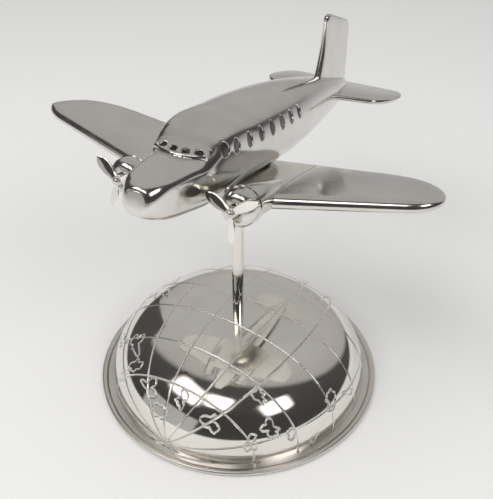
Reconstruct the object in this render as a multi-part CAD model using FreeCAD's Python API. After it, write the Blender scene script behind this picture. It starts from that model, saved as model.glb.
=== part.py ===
"""Desktop airliner model: a polished twin-propeller aircraft on a post over a globe-dome base.

Row frame, millimetres: the origin is the centre of the base's underside, +Z is up, the tail points
to +Y, the nose to -Y and the port wing to +X. The post stands on the Z axis.

The aircraft is built in its own frame and tilted nose-up at the end. In that frame X is port,
Y is aft, Z is up, and the origin lies where the cabin centreline crosses the post axis.
"""
import FreeCAD, Part
import math
import os

V = FreeCAD.Vector

# ---------------------------------------------------------------- driving dimensions: base
BASE_RADIUS = 100.0          # outside of the foot ring's bead
FELT_RADIUS = 96.0
FELT_THICKNESS = 1.0
RING_INNER_RADIUS = 82.0
RING_LEDGE_TOP = 2.2         # the dome's edge stands on this ledge
RING_SHOULDER_TOP = 2.9
RING_SHOULDER_OUTER = 95.4   # where the shoulder meets the bead
BEAD_TOP = 4.4
DOME_RADIUS = 91.2
DOME_FOOT = 1.5              # height at which the dome's side is vertical
DOME_RISE = 54.5
DOME_POWER = 2.32            # power of the dome's superellipse
DOME_WALL = 1.6
PLATE_RADIUS = 88.6
PLATE_THICKNESS = 2.0
BALLAST_RADIUS = 70.0
BALLAST_THICKNESS = 8.0
BASE_SCREW_CIRCLE = 85.4
BASE_SCREW_COUNT = 6
BASE_SCREW = (2.6, 1.4, 1.2)     # head radius, shank radius, head height

# ---------------------------------------------------------------- driving dimensions: post
POST_RADIUS = 4.0
POST_BORE = 2.3
ROD_RADIUS = 2.0
FIT_GAP = 0.05               # radial gap of a loose fit
NUT_ACROSS_FLATS = 7.0
NUT_HEIGHT = 3.2
WASHER_RADIUS = 7.0
WASHER_THICKNESS = 1.0
SOCKET_RADIUS = 6.2
SOCKET_FLOOR = 157.0         # lower end of the socket under the wing
SOCKET_SEAT = 3.0            # depth of the seat for the post
SOCKET_FLARE = (1.2, 4.0)    # how far the socket's foot tapers in, and over what height
SOCKET_BLANK = 16.0          # length above the flare before the wing trims it
ROD_SPARE = 2.5              # thread below the nut
ROD_TOP = 8.0                # how far the rod's top stands below the aircraft's origin

# ---------------------------------------------------------------- driving dimensions: aircraft
CABIN_HEIGHT = 195.4         # height of the aircraft's own origin
NOSE_UP = 14.7               # degrees
SKIN = 2.5                   # wall of the hollow fuselage casting
FRAME_POINTS = 36            # points round one fuselage frame
FRONT_POWER = 2.3            # superellipse power of the round front frame
NOSE_POWER = 4.0             # of the boxy frames behind it
CABIN_POWER = 2.15           # and of the frames from the wing to the tail
FRONT_FADE = (-108.6, -97.0)     # stations between which the first becomes the second
CABIN_FADE = (-75.0, -20.0)      # and the second the third
SMALLEST_FRAME = 1.0         # frames with a smaller half size are left out

# Fuselage stations: aft distance, top height, bottom height, half width
FUSELAGE = [
    (-108.6, -6.8, -18.2, 6.2),
    (-108.2, -5.7, -19.3, 7.3),
    (-106.6, -4.1, -20.9, 9.0),
    (-103.0, -2.3, -22.3, 11.2),
    (-97.0, -0.7, -23.7, 13.3),
    (-88.0, 0.9, -24.9, 15.1),
    (-77.0, 2.4, -25.3, 16.8),
    (-70.0, 3.6, -25.5, 18.0),
    (-65.0, 7.0, -25.6, 19.2),
    (-58.0, 13.6, -25.6, 20.8),
    (-50.0, 18.4, -25.6, 22.2),
    (-36.0, 21.6, -25.6, 23.6),
    (-10.0, 23.6, -25.4, 24.6),
    (25.0, 24.0, -24.6, 24.4),
    (60.0, 22.8, -22.6, 22.6),
    (95.0, 19.8, -18.6, 19.2),
    (130.0, 15.6, -14.0, 14.6),
    (155.0, 12.2, -9.8, 10.8),
    (172.0, 9.8, -6.0, 7.4),
    (184.0, 7.8, -2.6, 4.6),
    (190.0, 6.0, 0.2, 2.4),
]

# Wing: leading and trailing edge lines against the distance from the centre plane
SEMI_SPAN = 129.0
PANEL_JOINT = 42.0           # where the outer panel meets the centre section
CENTRE_EDGE = -40.0          # straight leading edge of the centre section
EDGE_START = -48.9
EDGE_SWEEP = 0.242
TRAIL_START = 38.7
TRAIL_SWEEP = -0.11
WING_HEIGHT = -29.6
DIHEDRAL = 0.156
TRAIL_LIFT = 4.4             # how far the trailing edge lies above the leading edge
ROOT_THICKNESS = 9.4
TIP_THICKNESS = 7.0
TIP_ROUND = 44.0             # length over which the trailing edge curves in to the tip
TIP_FRONT_ROUND = 18.0       # the same for the leading edge
TIP_POWER = 2.6
TIP_PIVOT = 0.28             # where along the chord the outline closes
SECTION_NOSE = 0.55          # length of a section's rounded front, in thicknesses
SECTION_CREST = 1.12         # share of the thickness that lies above the chord, doubled
SECTION_BELLY = 0.88         # and below it
TRAIL_BLUNT = 0.05           # half thickness of the trailing edge, in thicknesses

# Engines
ENGINE_OUT = 34.8
ENGINE_HEIGHT = -19.9
HUB_STATION = -71.7
COWL_FRONT = -67.4
COWL_SHOULDER = -62.6        # where the domed front meets the straight side
COWL_BACK = -55.6
COWL_RADIUS = 10.6
COWL_MOUTH = 3.6
COWL_CREST = (8.8, -65.8)    # a point of the domed front: radius, station
COWL_WALL = 1.2
COWL_BAND = (0.5, 2.2, 0.4)  # height of the raised band, its length and its bevel
BOSS_RADIUS = 3.1            # gear case in the cowl's mouth
ENGINE_FACE = -62.0
GEAR_FACE = -64.6
PIN_TAIL = 3.0               # how far the pin ends ahead of the cowl's back
# Nacelle stations: aft distance, half width, half height, height of the middle below the engine's axis
NACELLE = [
    (-55.6, 9.4, 9.4, 0.0),
    (-48.0, 9.6, 9.6, 0.3),
    (-38.0, 9.2, 9.2, 1.2),
    (-24.0, 7.8, 7.6, 2.6),
    (-8.0, 5.6, 5.4, 3.6),
    (6.0, 3.2, 3.2, 3.8),
    (14.0, 1.2, 1.2, 3.8),
]
BLADE_RADIUS = 17.4
BLADE_COUNT = 3
BLADE_CHORD = 6.6
BLADE_PITCH = 20.0
BLADE_FRAMES = 9
BLADE_TIP = 0.28             # share of the blade over which its end rounds off
BLADE_THICKNESS = (0.85, 0.40)   # half thickness at the hub, and at the end
HUB_RADIUS = 2.7
HUB_LENGTH = 3.4
PIN_RADIUS = 1.0
PIN_GAP = 0.06
PIN_HEAD_RADIUS = 1.9
PIN_BALL_RADIUS = 2.2        # of the pin's domed head
END_FLOAT = 0.2              # axial play of a propeller
BLADE_PHASE = {"port": 155.9, "starboard": 143.0}

# Tail
TAIL_HALF_SPAN = 51.0
TAIL_LEAD = (129.5, 0.28)    # leading edge at the centre plane, sweep
TAIL_TRAIL = (198.0, -0.03)
TAIL_HEIGHT = (2.4, 0.02)    # height at the centre plane, dihedral
TAIL_THICKNESS = (5.0, 3.8)
TAIL_ROUND = 15.0
FIN_LEAD = (121.5, 0.085)    # leading edge at cabin centre height, rake
FIN_TRAIL = (194.6, -0.24)
FIN_TOP = 61.0               # height of the top's front corner
FIN_SLOPES = (-0.145, -0.170)    # fall of the lowest and the highest rib towards the tail
FIN_THICKNESS = (6.4, 4.4)
FIN_KNEE = 5.0               # how far the middle of the leading edge stands behind a straight one
FIN_ROUND = 7.0              # height over which the top's corners round off
FIN_RIBS = (0.0, 9.0, 18.0, 27.0, 36.0, 46.0)

# Fixing inside the cabin
WING_SCREW_PLACES = (-22.0, 23.0)
WING_SCREW = (3.6, 1.7, 2.2)     # head radius, shank radius, head height
WING_SCREW_SINK = 0.3        # how far the heads lie above the wing's underside
WING_SCREW_TOP = -11.0
BLOCK_SIZE = (20.0, 64.0, 16.0)
BLOCK_CORNER = (-10.0, -30.0, -25.0)

# Windows
WINDOW_COUNT = 7
WINDOW_FIRST = -45.4
WINDOW_PITCH = 14.5
COCKPIT_WINDOW = -55.6
WINDOW_HEIGHT = 8.9          # above the cabin centreline at the post
WINDOW_CLIMB = 0.036         # rise of the window line towards the tail
WINDOW_SIZE = (6.2, 8.2)     # along the cabin, up
SCREEN_FRONT = -72.6         # middle of the windscreen frame's front edge
SCREEN_CORNER = -67.2        # its front edge at the sides
SCREEN_BACK = -62.6
SCREEN_HALF_WIDTH = 16.0
SCREEN_STAND = 0.9           # how far the windscreen frame stands off the nose
GLASS_SINK = 0.4             # how far the dark inserts lie below the skin
WINDOW_BAR = (14.0, 40.0)    # distances from the centre plane between which a window is cut
PANES = [(3.7, -68.2, 0.0), (10.8, -66.9, 14.0)]     # sideways, aft, turn in degrees
PANE_SIZE = (4.4, 3.2)
PANE_CORNER = 1.1
SCREEN_BLOCK = (-8.0, 24.0)  # heights between which the windscreen is cut out


# ---------------------------------------------------------------- helpers
def solid_of(shape):
    """The shape itself, or its only solid when it is a compound of one."""
    solids = shape.Solids
    if len(solids) == 1:
        return solids[0]
    return Part.makeCompound(solids)


def place_aircraft(shape):
    """Tilt a shape from the aircraft's own frame into the row frame."""
    moved = shape.copy()
    moved.rotate(V(0, 0, 0), V(1, 0, 0), -NOSE_UP)
    moved.translate(V(0, 0, CABIN_HEIGHT))
    return moved


def to_aircraft(shape):
    """The reverse of place_aircraft."""
    moved = shape.copy()
    moved.translate(V(0, 0, -CABIN_HEIGHT))
    moved.rotate(V(0, 0, 0), V(1, 0, 0), NOSE_UP)
    return moved


def revolve_profile(edges, axis=V(0, 0, 1), centre=V(0, 0, 0)):
    """A full turn of a closed outline about an axis."""
    return Part.Face(Part.Wire(edges)).revolve(centre, axis, 360)


def polygon_edges(points):
    """Straight edges round a closed list of points."""
    return [Part.makeLine(a, b) for a, b in zip(points, points[1:] + points[:1])]


def spline_edge(points):
    """One smooth edge through a list of points."""
    curve = Part.BSplineCurve()
    curve.interpolate(points)
    return curve.toShape()


def cylinder_y(radius, start, end, x=0.0, z=0.0):
    """A cylinder along Y from start to end."""
    return Part.makeCylinder(radius, end - start, V(x, start, z), V(0, 1, 0))


def mirror_port(shape):
    """The starboard twin of a port shape."""
    return shape.mirror(V(0, 0, 0), V(1, 0, 0))


def ellipse_wire(station, top, bottom, half_width):
    """An upright ellipse across the X-Z plane at a station."""
    height = (top - bottom) / 2
    middle = (top + bottom) / 2
    frame = Part.makeCircle(1.0, V(0, 0, 0), V(0, 1, 0)).toNurbs().Edges[0]
    matrix = FreeCAD.Matrix()
    matrix.scale(half_width, 1.0, height)
    wire = Part.Wire([frame.transformGeometry(matrix)])
    wire.translate(V(0, station, middle))
    return wire


# ---------------------------------------------------------------- base
def dome_curve(inset, floor, hole):
    """The dome's profile from its edge up to a small hole at the top."""
    points = []
    steps = 16
    start = math.asin(((floor - DOME_FOOT) / (DOME_RISE - inset)) ** (DOME_POWER / 2))
    end = math.acos((hole / (DOME_RADIUS - inset)) ** (DOME_POWER / 2))
    for i in range(steps + 1):
        angle = start + (end - start) * i / steps
        r = (DOME_RADIUS - inset) * math.cos(angle) ** (2 / DOME_POWER)
        z = DOME_FOOT + (DOME_RISE - inset) * math.sin(angle) ** (2 / DOME_POWER)
        points.append(V(r, 0, z))
    return points


def make_dome():
    """Hollow spun dome with a hole for the tie rod."""
    hole = ROD_RADIUS + FIT_GAP
    outer = dome_curve(0.0, RING_LEDGE_TOP, hole)
    inner = dome_curve(DOME_WALL, RING_LEDGE_TOP, hole)
    edges = [spline_edge(outer), Part.makeLine(outer[-1], inner[-1])]
    edges += [spline_edge(inner[::-1]), Part.makeLine(inner[0], outer[0])]
    return revolve_profile(edges)


def make_ring():
    """Foot ring: a flat ledge, a low shoulder and a rolled bead."""
    bead_radius = (BEAD_TOP - FELT_THICKNESS) / 2
    bead_z = FELT_THICKNESS + bead_radius
    bead_r = BASE_RADIUS - bead_radius
    step = DOME_RADIUS + FIT_GAP
    a = V(RING_INNER_RADIUS, 0, FELT_THICKNESS)
    b = V(bead_r, 0, FELT_THICKNESS)
    c = V(BASE_RADIUS, 0, bead_z)
    d = V(bead_r, 0, BEAD_TOP)
    e = V(RING_SHOULDER_OUTER, 0, RING_SHOULDER_TOP)
    f = V(step, 0, RING_SHOULDER_TOP)
    g = V(step, 0, RING_LEDGE_TOP)
    h = V(RING_INNER_RADIUS, 0, RING_LEDGE_TOP)
    turn = (bead_r - RING_SHOULDER_OUTER) * 0.35
    crest = V(RING_SHOULDER_OUTER + turn, 0, BEAD_TOP - 0.35)
    edges = [Part.makeLine(a, b), Part.Arc(b, c, d).toShape(), Part.Arc(d, crest, e).toShape()]
    edges += [Part.makeLine(e, f), Part.makeLine(f, g), Part.makeLine(g, h), Part.makeLine(h, a)]
    return revolve_profile(edges)


def base_screw_places():
    """Centres of the screws that hold the bottom plate to the ring."""
    for i in range(BASE_SCREW_COUNT):
        angle = 2 * math.pi * i / BASE_SCREW_COUNT
        yield V(BASE_SCREW_CIRCLE * math.cos(angle), BASE_SCREW_CIRCLE * math.sin(angle), 0)


def base_screw(at, gap=0.0):
    """A countersunk screw from the underside; gap widens it into its own hole."""
    head_radius, shank_radius, head_height = BASE_SCREW
    low = at + V(0, 0, FELT_THICKNESS)
    length = RING_LEDGE_TOP + PLATE_THICKNESS - FELT_THICKNESS
    head = Part.makeCone(head_radius + gap, shank_radius + gap, head_height, low)
    shank = Part.makeCylinder(shank_radius + gap, length, low)
    return head.fuse(shank).removeSplitter()


def make_base():
    """The nodes of the base."""
    nodes = {}
    holes = Part.makeCompound([base_screw(p, FIT_GAP) for p in base_screw_places()])
    plate_low = RING_LEDGE_TOP
    plate_high = plate_low + PLATE_THICKNESS
    nodes["dome_shell"] = make_dome()
    nodes["foot_ring"] = make_ring().cut(holes)
    nodes["bottom_plate"] = Part.makeCylinder(PLATE_RADIUS, PLATE_THICKNESS, V(0, 0, plate_low)).cut(holes)
    nodes["ballast_disc"] = Part.makeCylinder(BALLAST_RADIUS, BALLAST_THICKNESS, V(0, 0, plate_high))
    nodes["felt_pad"] = Part.makeCylinder(FELT_RADIUS, FELT_THICKNESS)
    nodes["base_screws"] = Part.makeCompound([base_screw(p) for p in base_screw_places()])
    return nodes


# ---------------------------------------------------------------- post
def make_post(wing_blank):
    """Post, tie rod and the fasteners at both ends. wing_blank is in the row frame."""
    nodes = {}
    apex = DOME_FOOT + DOME_RISE
    under = apex - DOME_WALL
    # the post's upper end sits in the socket, whose top follows the wing's underside
    seat = SOCKET_FLOOR + SOCKET_SEAT
    bore = Part.makeCylinder(ROD_RADIUS + FIT_GAP, CABIN_HEIGHT)
    tube = Part.makeCylinder(POST_RADIUS, seat - apex, V(0, 0, apex))
    nodes["post_tube"] = tube.cut(Part.makeCylinder(POST_BORE, CABIN_HEIGHT))
    taper, flare = SOCKET_FLARE
    socket = Part.makeCone(SOCKET_RADIUS - taper, SOCKET_RADIUS, flare, V(0, 0, SOCKET_FLOOR))
    socket = socket.fuse(Part.makeCylinder(SOCKET_RADIUS, SOCKET_BLANK, V(0, 0, SOCKET_FLOOR + flare)))
    socket = socket.cut(Part.makeCylinder(POST_RADIUS + FIT_GAP, SOCKET_SEAT, V(0, 0, SOCKET_FLOOR)))
    socket = socket.cut(bore).cut(wing_blank)
    nodes["post_socket"] = min(socket.Solids, key=lambda s: s.CenterOfMass.z)
    rod_low = under - WASHER_THICKNESS - NUT_HEIGHT - ROD_SPARE
    rod_high = CABIN_HEIGHT - ROD_TOP
    nodes["tie_rod"] = Part.makeCylinder(ROD_RADIUS, rod_high - rod_low, V(0, 0, rod_low))
    washer_z = under - WASHER_THICKNESS - FIT_GAP
    nodes["rod_washer"] = Part.makeCylinder(WASHER_RADIUS, WASHER_THICKNESS, V(0, 0, washer_z)).cut(bore)
    corners = []
    for i in range(6):
        angle = math.radians(60 * i)
        reach = NUT_ACROSS_FLATS / 2 / math.cos(math.radians(30))
        corners.append(V(reach * math.cos(angle), reach * math.sin(angle), washer_z - NUT_HEIGHT))
    nut = Part.Face(Part.Wire(polygon_edges(corners))).extrude(V(0, 0, NUT_HEIGHT))
    nodes["rod_nut"] = nut.cut(bore)
    return nodes


# ---------------------------------------------------------------- fuselage
def smoothstep(limits, value):
    """0 below the first limit, 1 above the second and a smooth step between."""
    start, end = limits
    share = min(1.0, max(0.0, (value - start) / (end - start)))
    return share * share * (3 - 2 * share)


def frame_power(station):
    """Superellipse power of the fuselage frame at a station."""
    power = FRONT_POWER + (NOSE_POWER - FRONT_POWER) * smoothstep(FRONT_FADE, station)
    return power + (CABIN_POWER - NOSE_POWER) * smoothstep(CABIN_FADE, station)


def frame_wire(station, top, bottom, half_width):
    """One fuselage frame: a closed superellipse across the cabin, starting at its underside."""
    power = frame_power(station)
    middle = (top + bottom) / 2
    points = []
    for i in range(FRAME_POINTS):
        angle = 2 * math.pi * i / FRAME_POINTS - math.pi / 2
        across, up = math.cos(angle), math.sin(angle)
        reach = (abs(across) ** power + abs(up) ** power) ** (-1 / power)
        points.append(V(half_width * across * reach, station, middle + (top - middle) * up * reach))
    curve = Part.BSplineCurve()
    curve.interpolate(Points=points, PeriodicFlag=True)
    return Part.Wire([curve.toShape()])


def fuselage_blank(inset=0.0):
    """The fuselage as a smooth solid; a positive inset gives the hollow, a negative one a skin over it."""
    front = FUSELAGE[0][0] + max(inset, 0.0)
    back = FUSELAGE[-1][0] - max(inset, 0.0)
    frames = []
    for station, top, bottom, half_width in FUSELAGE:
        smallest = min(half_width, (top - bottom) / 2) - inset
        if front <= station <= back and smallest >= SMALLEST_FRAME:
            frames.append(frame_wire(station, top - inset, bottom + inset, half_width - inset))
    return Part.makeLoft(frames, True, False)


def window_prism(station):
    """An oval bar across one cabin side at a window's place."""
    low, high = WINDOW_BAR
    oval = Part.Ellipse(V(0, 0, 0), WINDOW_SIZE[1] / 2, WINDOW_SIZE[0] / 2).toShape()
    face = Part.Face(Part.Wire([oval]))
    face.rotate(V(0, 0, 0), V(0, 1, 0), 90)
    face.translate(V(low, station, WINDOW_HEIGHT + WINDOW_CLIMB * station))
    return face.extrude(V(high - low, 0, 0))


def window_stations():
    """Where the cabin windows are along the fuselage."""
    return [COCKPIT_WINDOW] + [WINDOW_FIRST + WINDOW_PITCH * i for i in range(WINDOW_COUNT)]


def screen_outline():
    """Upright block with the windscreen frame's outline seen from above: a bow in front, straight behind."""
    left = V(-SCREEN_HALF_WIDTH, SCREEN_CORNER, SCREEN_BLOCK[0])
    front = V(0, SCREEN_FRONT, SCREEN_BLOCK[0])
    right = V(SCREEN_HALF_WIDTH, SCREEN_CORNER, SCREEN_BLOCK[0])
    back_right = V(SCREEN_HALF_WIDTH, SCREEN_BACK, SCREEN_BLOCK[0])
    back_left = V(-SCREEN_HALF_WIDTH, SCREEN_BACK, SCREEN_BLOCK[0])
    edges = [Part.Arc(left, front, right).toShape(), Part.makeLine(right, back_right)]
    edges += [Part.makeLine(back_right, back_left), Part.makeLine(back_left, left)]
    return Part.Face(Part.Wire(edges)).extrude(V(0, 0, SCREEN_BLOCK[1] - SCREEN_BLOCK[0]))


def screen_panes():
    """Four upright bars that cut the windscreen openings: two in front and one at each side."""
    wide, deep = PANE_SIZE
    low, high = SCREEN_BLOCK
    panes = []
    for out, aft, turn in PANES:
        bar = Part.makeBox(wide, deep, high - low, V(-wide / 2, -deep / 2, low))
        bar = bar.makeFillet(PANE_CORNER, [e for e in bar.Edges if abs(e.Length - (high - low)) < 0.01])
        bar.rotate(V(0, 0, 0), V(0, 0, 1), turn)
        bar.translate(V(out, aft, 0))
        panes += [bar, mirror_port(bar)]
    return panes


def make_cabin(wing_blank):
    """Fuselage casting, windscreen and windows, in the aircraft's own frame."""
    nodes = {}
    outer = fuselage_blank()
    hollow = fuselage_blank(SKIN)
    glass_face = fuselage_blank(GLASS_SINK)
    skin = outer.cut(hollow)

    # the wing's upper surface is let into the belly
    skin = skin.cut(wing_blank)

    port = [window_prism(s) for s in window_stations()]
    openings = port + [mirror_port(p) for p in port]
    skin = skin.cut(Part.makeCompound(openings))
    pane_bars = Part.makeCompound(screen_panes())
    band = fuselage_blank(-SCREEN_STAND).cut(outer).common(screen_outline())
    nodes["windscreen_frame"] = solid_of(band.cut(pane_bars))
    skin = skin.cut(pane_bars)
    nodes["fuselage"] = max(skin.Solids, key=lambda s: s.Volume)
    glass_skin = glass_face.cut(hollow)
    nodes["windscreen_panes"] = glass_skin.common(pane_bars)
    nodes["port_cabin_windows"] = glass_skin.common(Part.makeCompound(port))
    nodes["starboard_cabin_windows"] = mirror_port(nodes["port_cabin_windows"])
    return nodes


# ---------------------------------------------------------------- wing
def aerofoil(chord, thickness, steps=12):
    """Closed section outline as (aft, up) pairs: over the top from the trailing edge and back beneath."""
    front = min(0.45, SECTION_NOSE * thickness / chord)

    def half(share):
        if share < front:
            return math.sqrt(1 - (1 - share / front) ** 2) / 2
        return (1 - (1 - 2 * TRAIL_BLUNT) * ((share - front) / (1 - front)) ** 1.7) / 2
    upper = []
    lower = []
    for i in range(steps + 1):
        share = (1 - math.cos(math.pi * i / steps)) / 2
        y = half(share) * thickness
        upper.append((share * chord, y * SECTION_CREST))
        lower.append((share * chord, -y * SECTION_BELLY))
    return upper[::-1] + lower[1:]


def wing_section(out, lead, trail, lead_z, trail_z, thickness):
    """A wing rib as a wire across the wing."""
    chord = trail - lead
    points = []
    for aft, up in aerofoil(chord, thickness):
        share = aft / chord
        points.append(V(out, lead + aft, lead_z + (trail_z - lead_z) * share + up))
    return Part.Wire([spline_edge(points), Part.makeLine(points[-1], points[0])])


def rounding(left, length):
    """1 along a wing and falling to 0 over the last length before its tip; left is the distance to it."""
    return math.sqrt(1 - max(0.0, 1 - left / length) ** TIP_POWER)


def rib_at(out):
    """The wing's outline at a distance from the centre plane: lead, trail and thickness."""
    lead = EDGE_START + EDGE_SWEEP * out
    if out <= PANEL_JOINT:
        lead = max(CENTRE_EDGE, lead)
    trail = TRAIL_START + TRAIL_SWEEP * out
    thickness = ROOT_THICKNESS + (TIP_THICKNESS - ROOT_THICKNESS) * out / SEMI_SPAN
    front = rounding(SEMI_SPAN - out, TIP_FRONT_ROUND)
    back = rounding(SEMI_SPAN - out, TIP_ROUND)
    pivot = lead + (trail - lead) * TIP_PIVOT
    return pivot - (pivot - lead) * front, pivot + (trail - pivot) * back, thickness * front ** 0.8


def wing_ribs(outs):
    """Rib wires at the given distances out."""
    ribs = []
    for out in outs:
        lead, trail, thickness = rib_at(out)
        full_lead = EDGE_START + EDGE_SWEEP * out
        full_trail = TRAIL_START + TRAIL_SWEEP * out
        base = WING_HEIGHT + DIHEDRAL * out
        slope = TRAIL_LIFT / (full_trail - full_lead)
        lead_z = base + (lead - full_lead) * slope
        trail_z = base + (trail - full_lead) * slope
        ribs.append(wing_section(out, lead, trail, lead_z, trail_z, thickness))
    return ribs


def tip_stations(end, length, steps=11):
    """Rib places through a rounded tip: close together where its outline turns fastest."""
    return [end - length * (1 - math.sin(1.50 * i / steps)) for i in range(steps + 1)]


def outer_panel_blank():
    """Port outer panel."""
    outs = [PANEL_JOINT] + tip_stations(SEMI_SPAN, TIP_ROUND)
    return Part.makeLoft(wing_ribs(outs), True, True)


def centre_blank():
    """Centre section from engine to engine, in two straight halves."""
    half = Part.makeLoft(wing_ribs([0.0, PANEL_JOINT]), True, True)
    return half.fuse(mirror_port(half)).removeSplitter()


# ---------------------------------------------------------------- engines
def nacelle_blank():
    """Port nacelle: a round front that fairs away under and over the wing."""
    wires = []
    for station, wide, tall, drop in NACELLE:
        z = ENGINE_HEIGHT - drop
        wire = ellipse_wire(station, z + tall, z - tall, wide)
        wire.translate(V(ENGINE_OUT, 0, 0))
        wires.append(wire)
    return Part.makeLoft(wires, True, False)


def make_cowl():
    """Port cowl: a domed front with a small mouth, and a raised band at the back edge."""
    inner = COWL_RADIUS - COWL_WALL
    height, length, bevel = COWL_BAND

    def at(radius, station):
        return V(ENGINE_OUT + radius, station, ENGINE_HEIGHT)
    crest_radius, crest_station = COWL_CREST
    outer_shoulder = at(COWL_RADIUS, COWL_SHOULDER)
    inner_shoulder = at(inner, COWL_SHOULDER)
    outer_mouth = at(COWL_MOUTH, COWL_FRONT)
    inner_mouth = at(COWL_MOUTH, COWL_FRONT + COWL_WALL)
    inner_crest = at(crest_radius - COWL_WALL * 0.7, crest_station + COWL_WALL * 0.7)
    side = [
        outer_shoulder,
        at(COWL_RADIUS, COWL_BACK - length),
        at(COWL_RADIUS + height, COWL_BACK - length + bevel),
        at(COWL_RADIUS + height, COWL_BACK - bevel),
        at(COWL_RADIUS, COWL_BACK),
        at(inner, COWL_BACK),
        inner_shoulder,
    ]
    edges = [Part.makeLine(p, q) for p, q in zip(side, side[1:])]
    edges.append(Part.Arc(inner_shoulder, inner_crest, inner_mouth).toShape())
    edges.append(Part.makeLine(inner_mouth, outer_mouth))
    edges.append(Part.Arc(outer_mouth, at(crest_radius, crest_station), outer_shoulder).toShape())
    return revolve_profile(edges, V(0, 1, 0), at(0, 0))


def hub_front():
    """Station of the propeller hub's front face."""
    return HUB_STATION - HUB_LENGTH / 2


def hub_back():
    """Station of the propeller hub's back face."""
    return HUB_STATION + HUB_LENGTH / 2


def make_engine_core():
    """Port engine block inside the cowl, with the gear case that carries the propeller pin."""
    tip = hub_back() + END_FLOAT
    radius = COWL_RADIUS - COWL_WALL - FIT_GAP
    outline = [
        (0, tip), (BOSS_RADIUS - 0.8, tip), (BOSS_RADIUS, tip + 0.8), (BOSS_RADIUS, GEAR_FACE),
        (radius, ENGINE_FACE), (radius, COWL_BACK), (0, COWL_BACK),
    ]
    points = [V(ENGINE_OUT + r, station, ENGINE_HEIGHT) for r, station in outline]
    core = revolve_profile(polygon_edges(points), V(0, 1, 0), V(ENGINE_OUT, 0, ENGINE_HEIGHT))
    return core.cut(cylinder_y(PIN_RADIUS, tip - 1, COWL_BACK - PIN_TAIL, ENGINE_OUT, ENGINE_HEIGHT))


def make_prop_pin():
    """Port propeller pin: a shank with a domed head."""
    x = ENGINE_OUT
    face = hub_front() - END_FLOAT
    shank = cylinder_y(PIN_RADIUS, face, COWL_BACK - PIN_TAIL, x, ENGINE_HEIGHT)
    ball_centre = face + math.sqrt(PIN_BALL_RADIUS ** 2 - PIN_HEAD_RADIUS ** 2)
    ball = Part.makeSphere(PIN_BALL_RADIUS, V(x, ball_centre, ENGINE_HEIGHT))
    head = ball.common(cylinder_y(PIN_HEAD_RADIUS + 1, face - 5, face, x, ENGINE_HEIGHT))
    return head.fuse(shank).removeSplitter()


def blade():
    """One blade along +Z from the hub: a twisted paddle with a rounded tip."""
    wires = []
    root = HUB_RADIUS * 0.5
    hub_thickness, end_thickness = BLADE_THICKNESS
    for i in range(BLADE_FRAMES + 1):
        share = i / BLADE_FRAMES
        along = 1 - (1 - share) ** 1.6
        swell = math.sin(math.pi * min(1.0, 0.18 + 0.62 * along)) ** 0.9
        end = max(0.0, (along - 1 + BLADE_TIP) / BLADE_TIP)
        tip = math.sqrt(max(0.004, 1 - end ** 2))
        wide = max(0.35, BLADE_CHORD / 2 * swell * tip)
        thick = max(0.18, (hub_thickness + (end_thickness - hub_thickness) * along) * tip)
        wire = Part.Wire([Part.Ellipse(V(0, 0, 0), wide, thick).toShape()])
        wire.rotate(V(0, 0, 0), V(0, 0, 1), BLADE_PITCH * (1.25 - 0.6 * along))
        wire.translate(V(0, 0, root + (BLADE_RADIUS - root) * along))
        wires.append(wire)
    return Part.makeLoft(wires, True, False)


def make_propeller(phase):
    """Port-side propeller: hub, blades and the hole for the pin."""
    hub = Part.makeCylinder(HUB_RADIUS, HUB_LENGTH, V(0, -HUB_LENGTH / 2, 0), V(0, 1, 0))
    hub = hub.makeFillet(0.5, [e for e in hub.Edges if abs(e.Length - 2 * math.pi * HUB_RADIUS) < 0.01])
    shape = hub
    for i in range(BLADE_COUNT):
        one = blade()
        one.rotate(V(0, 0, 0), V(0, 1, 0), 90 - phase - 360 / BLADE_COUNT * i)
        shape = shape.fuse(one)
    shape = shape.cut(cylinder_y(PIN_RADIUS + PIN_GAP, -10, 10))
    shape.translate(V(0, HUB_STATION, ENGINE_HEIGHT))
    return solid_of(shape)


def shift_x(shape, x):
    """A copy moved sideways."""
    moved = shape.copy()
    moved.translate(V(x, 0, 0))
    return moved


# ---------------------------------------------------------------- tail
def tail_blank():
    """Port tailplane half from the centre plane to its rounded tip."""
    wires = []
    for out in [0.0] + tip_stations(TAIL_HALF_SPAN, TAIL_ROUND, 8):
        lead = TAIL_LEAD[0] + TAIL_LEAD[1] * out
        trail = TAIL_TRAIL[0] + TAIL_TRAIL[1] * out
        squeeze = rounding(TAIL_HALF_SPAN - out, TAIL_ROUND)
        pivot = (lead + trail) / 2
        share = out / TAIL_HALF_SPAN
        thickness = (TAIL_THICKNESS[0] + (TAIL_THICKNESS[1] - TAIL_THICKNESS[0]) * share) * squeeze ** 0.8
        z = TAIL_HEIGHT[0] + TAIL_HEIGHT[1] * out
        lead = pivot - (pivot - lead) * squeeze
        trail = pivot + (trail - pivot) * squeeze
        wires.append(wing_section(out, lead, trail, z, z, thickness))
    return Part.makeLoft(wires, True, True)


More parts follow.
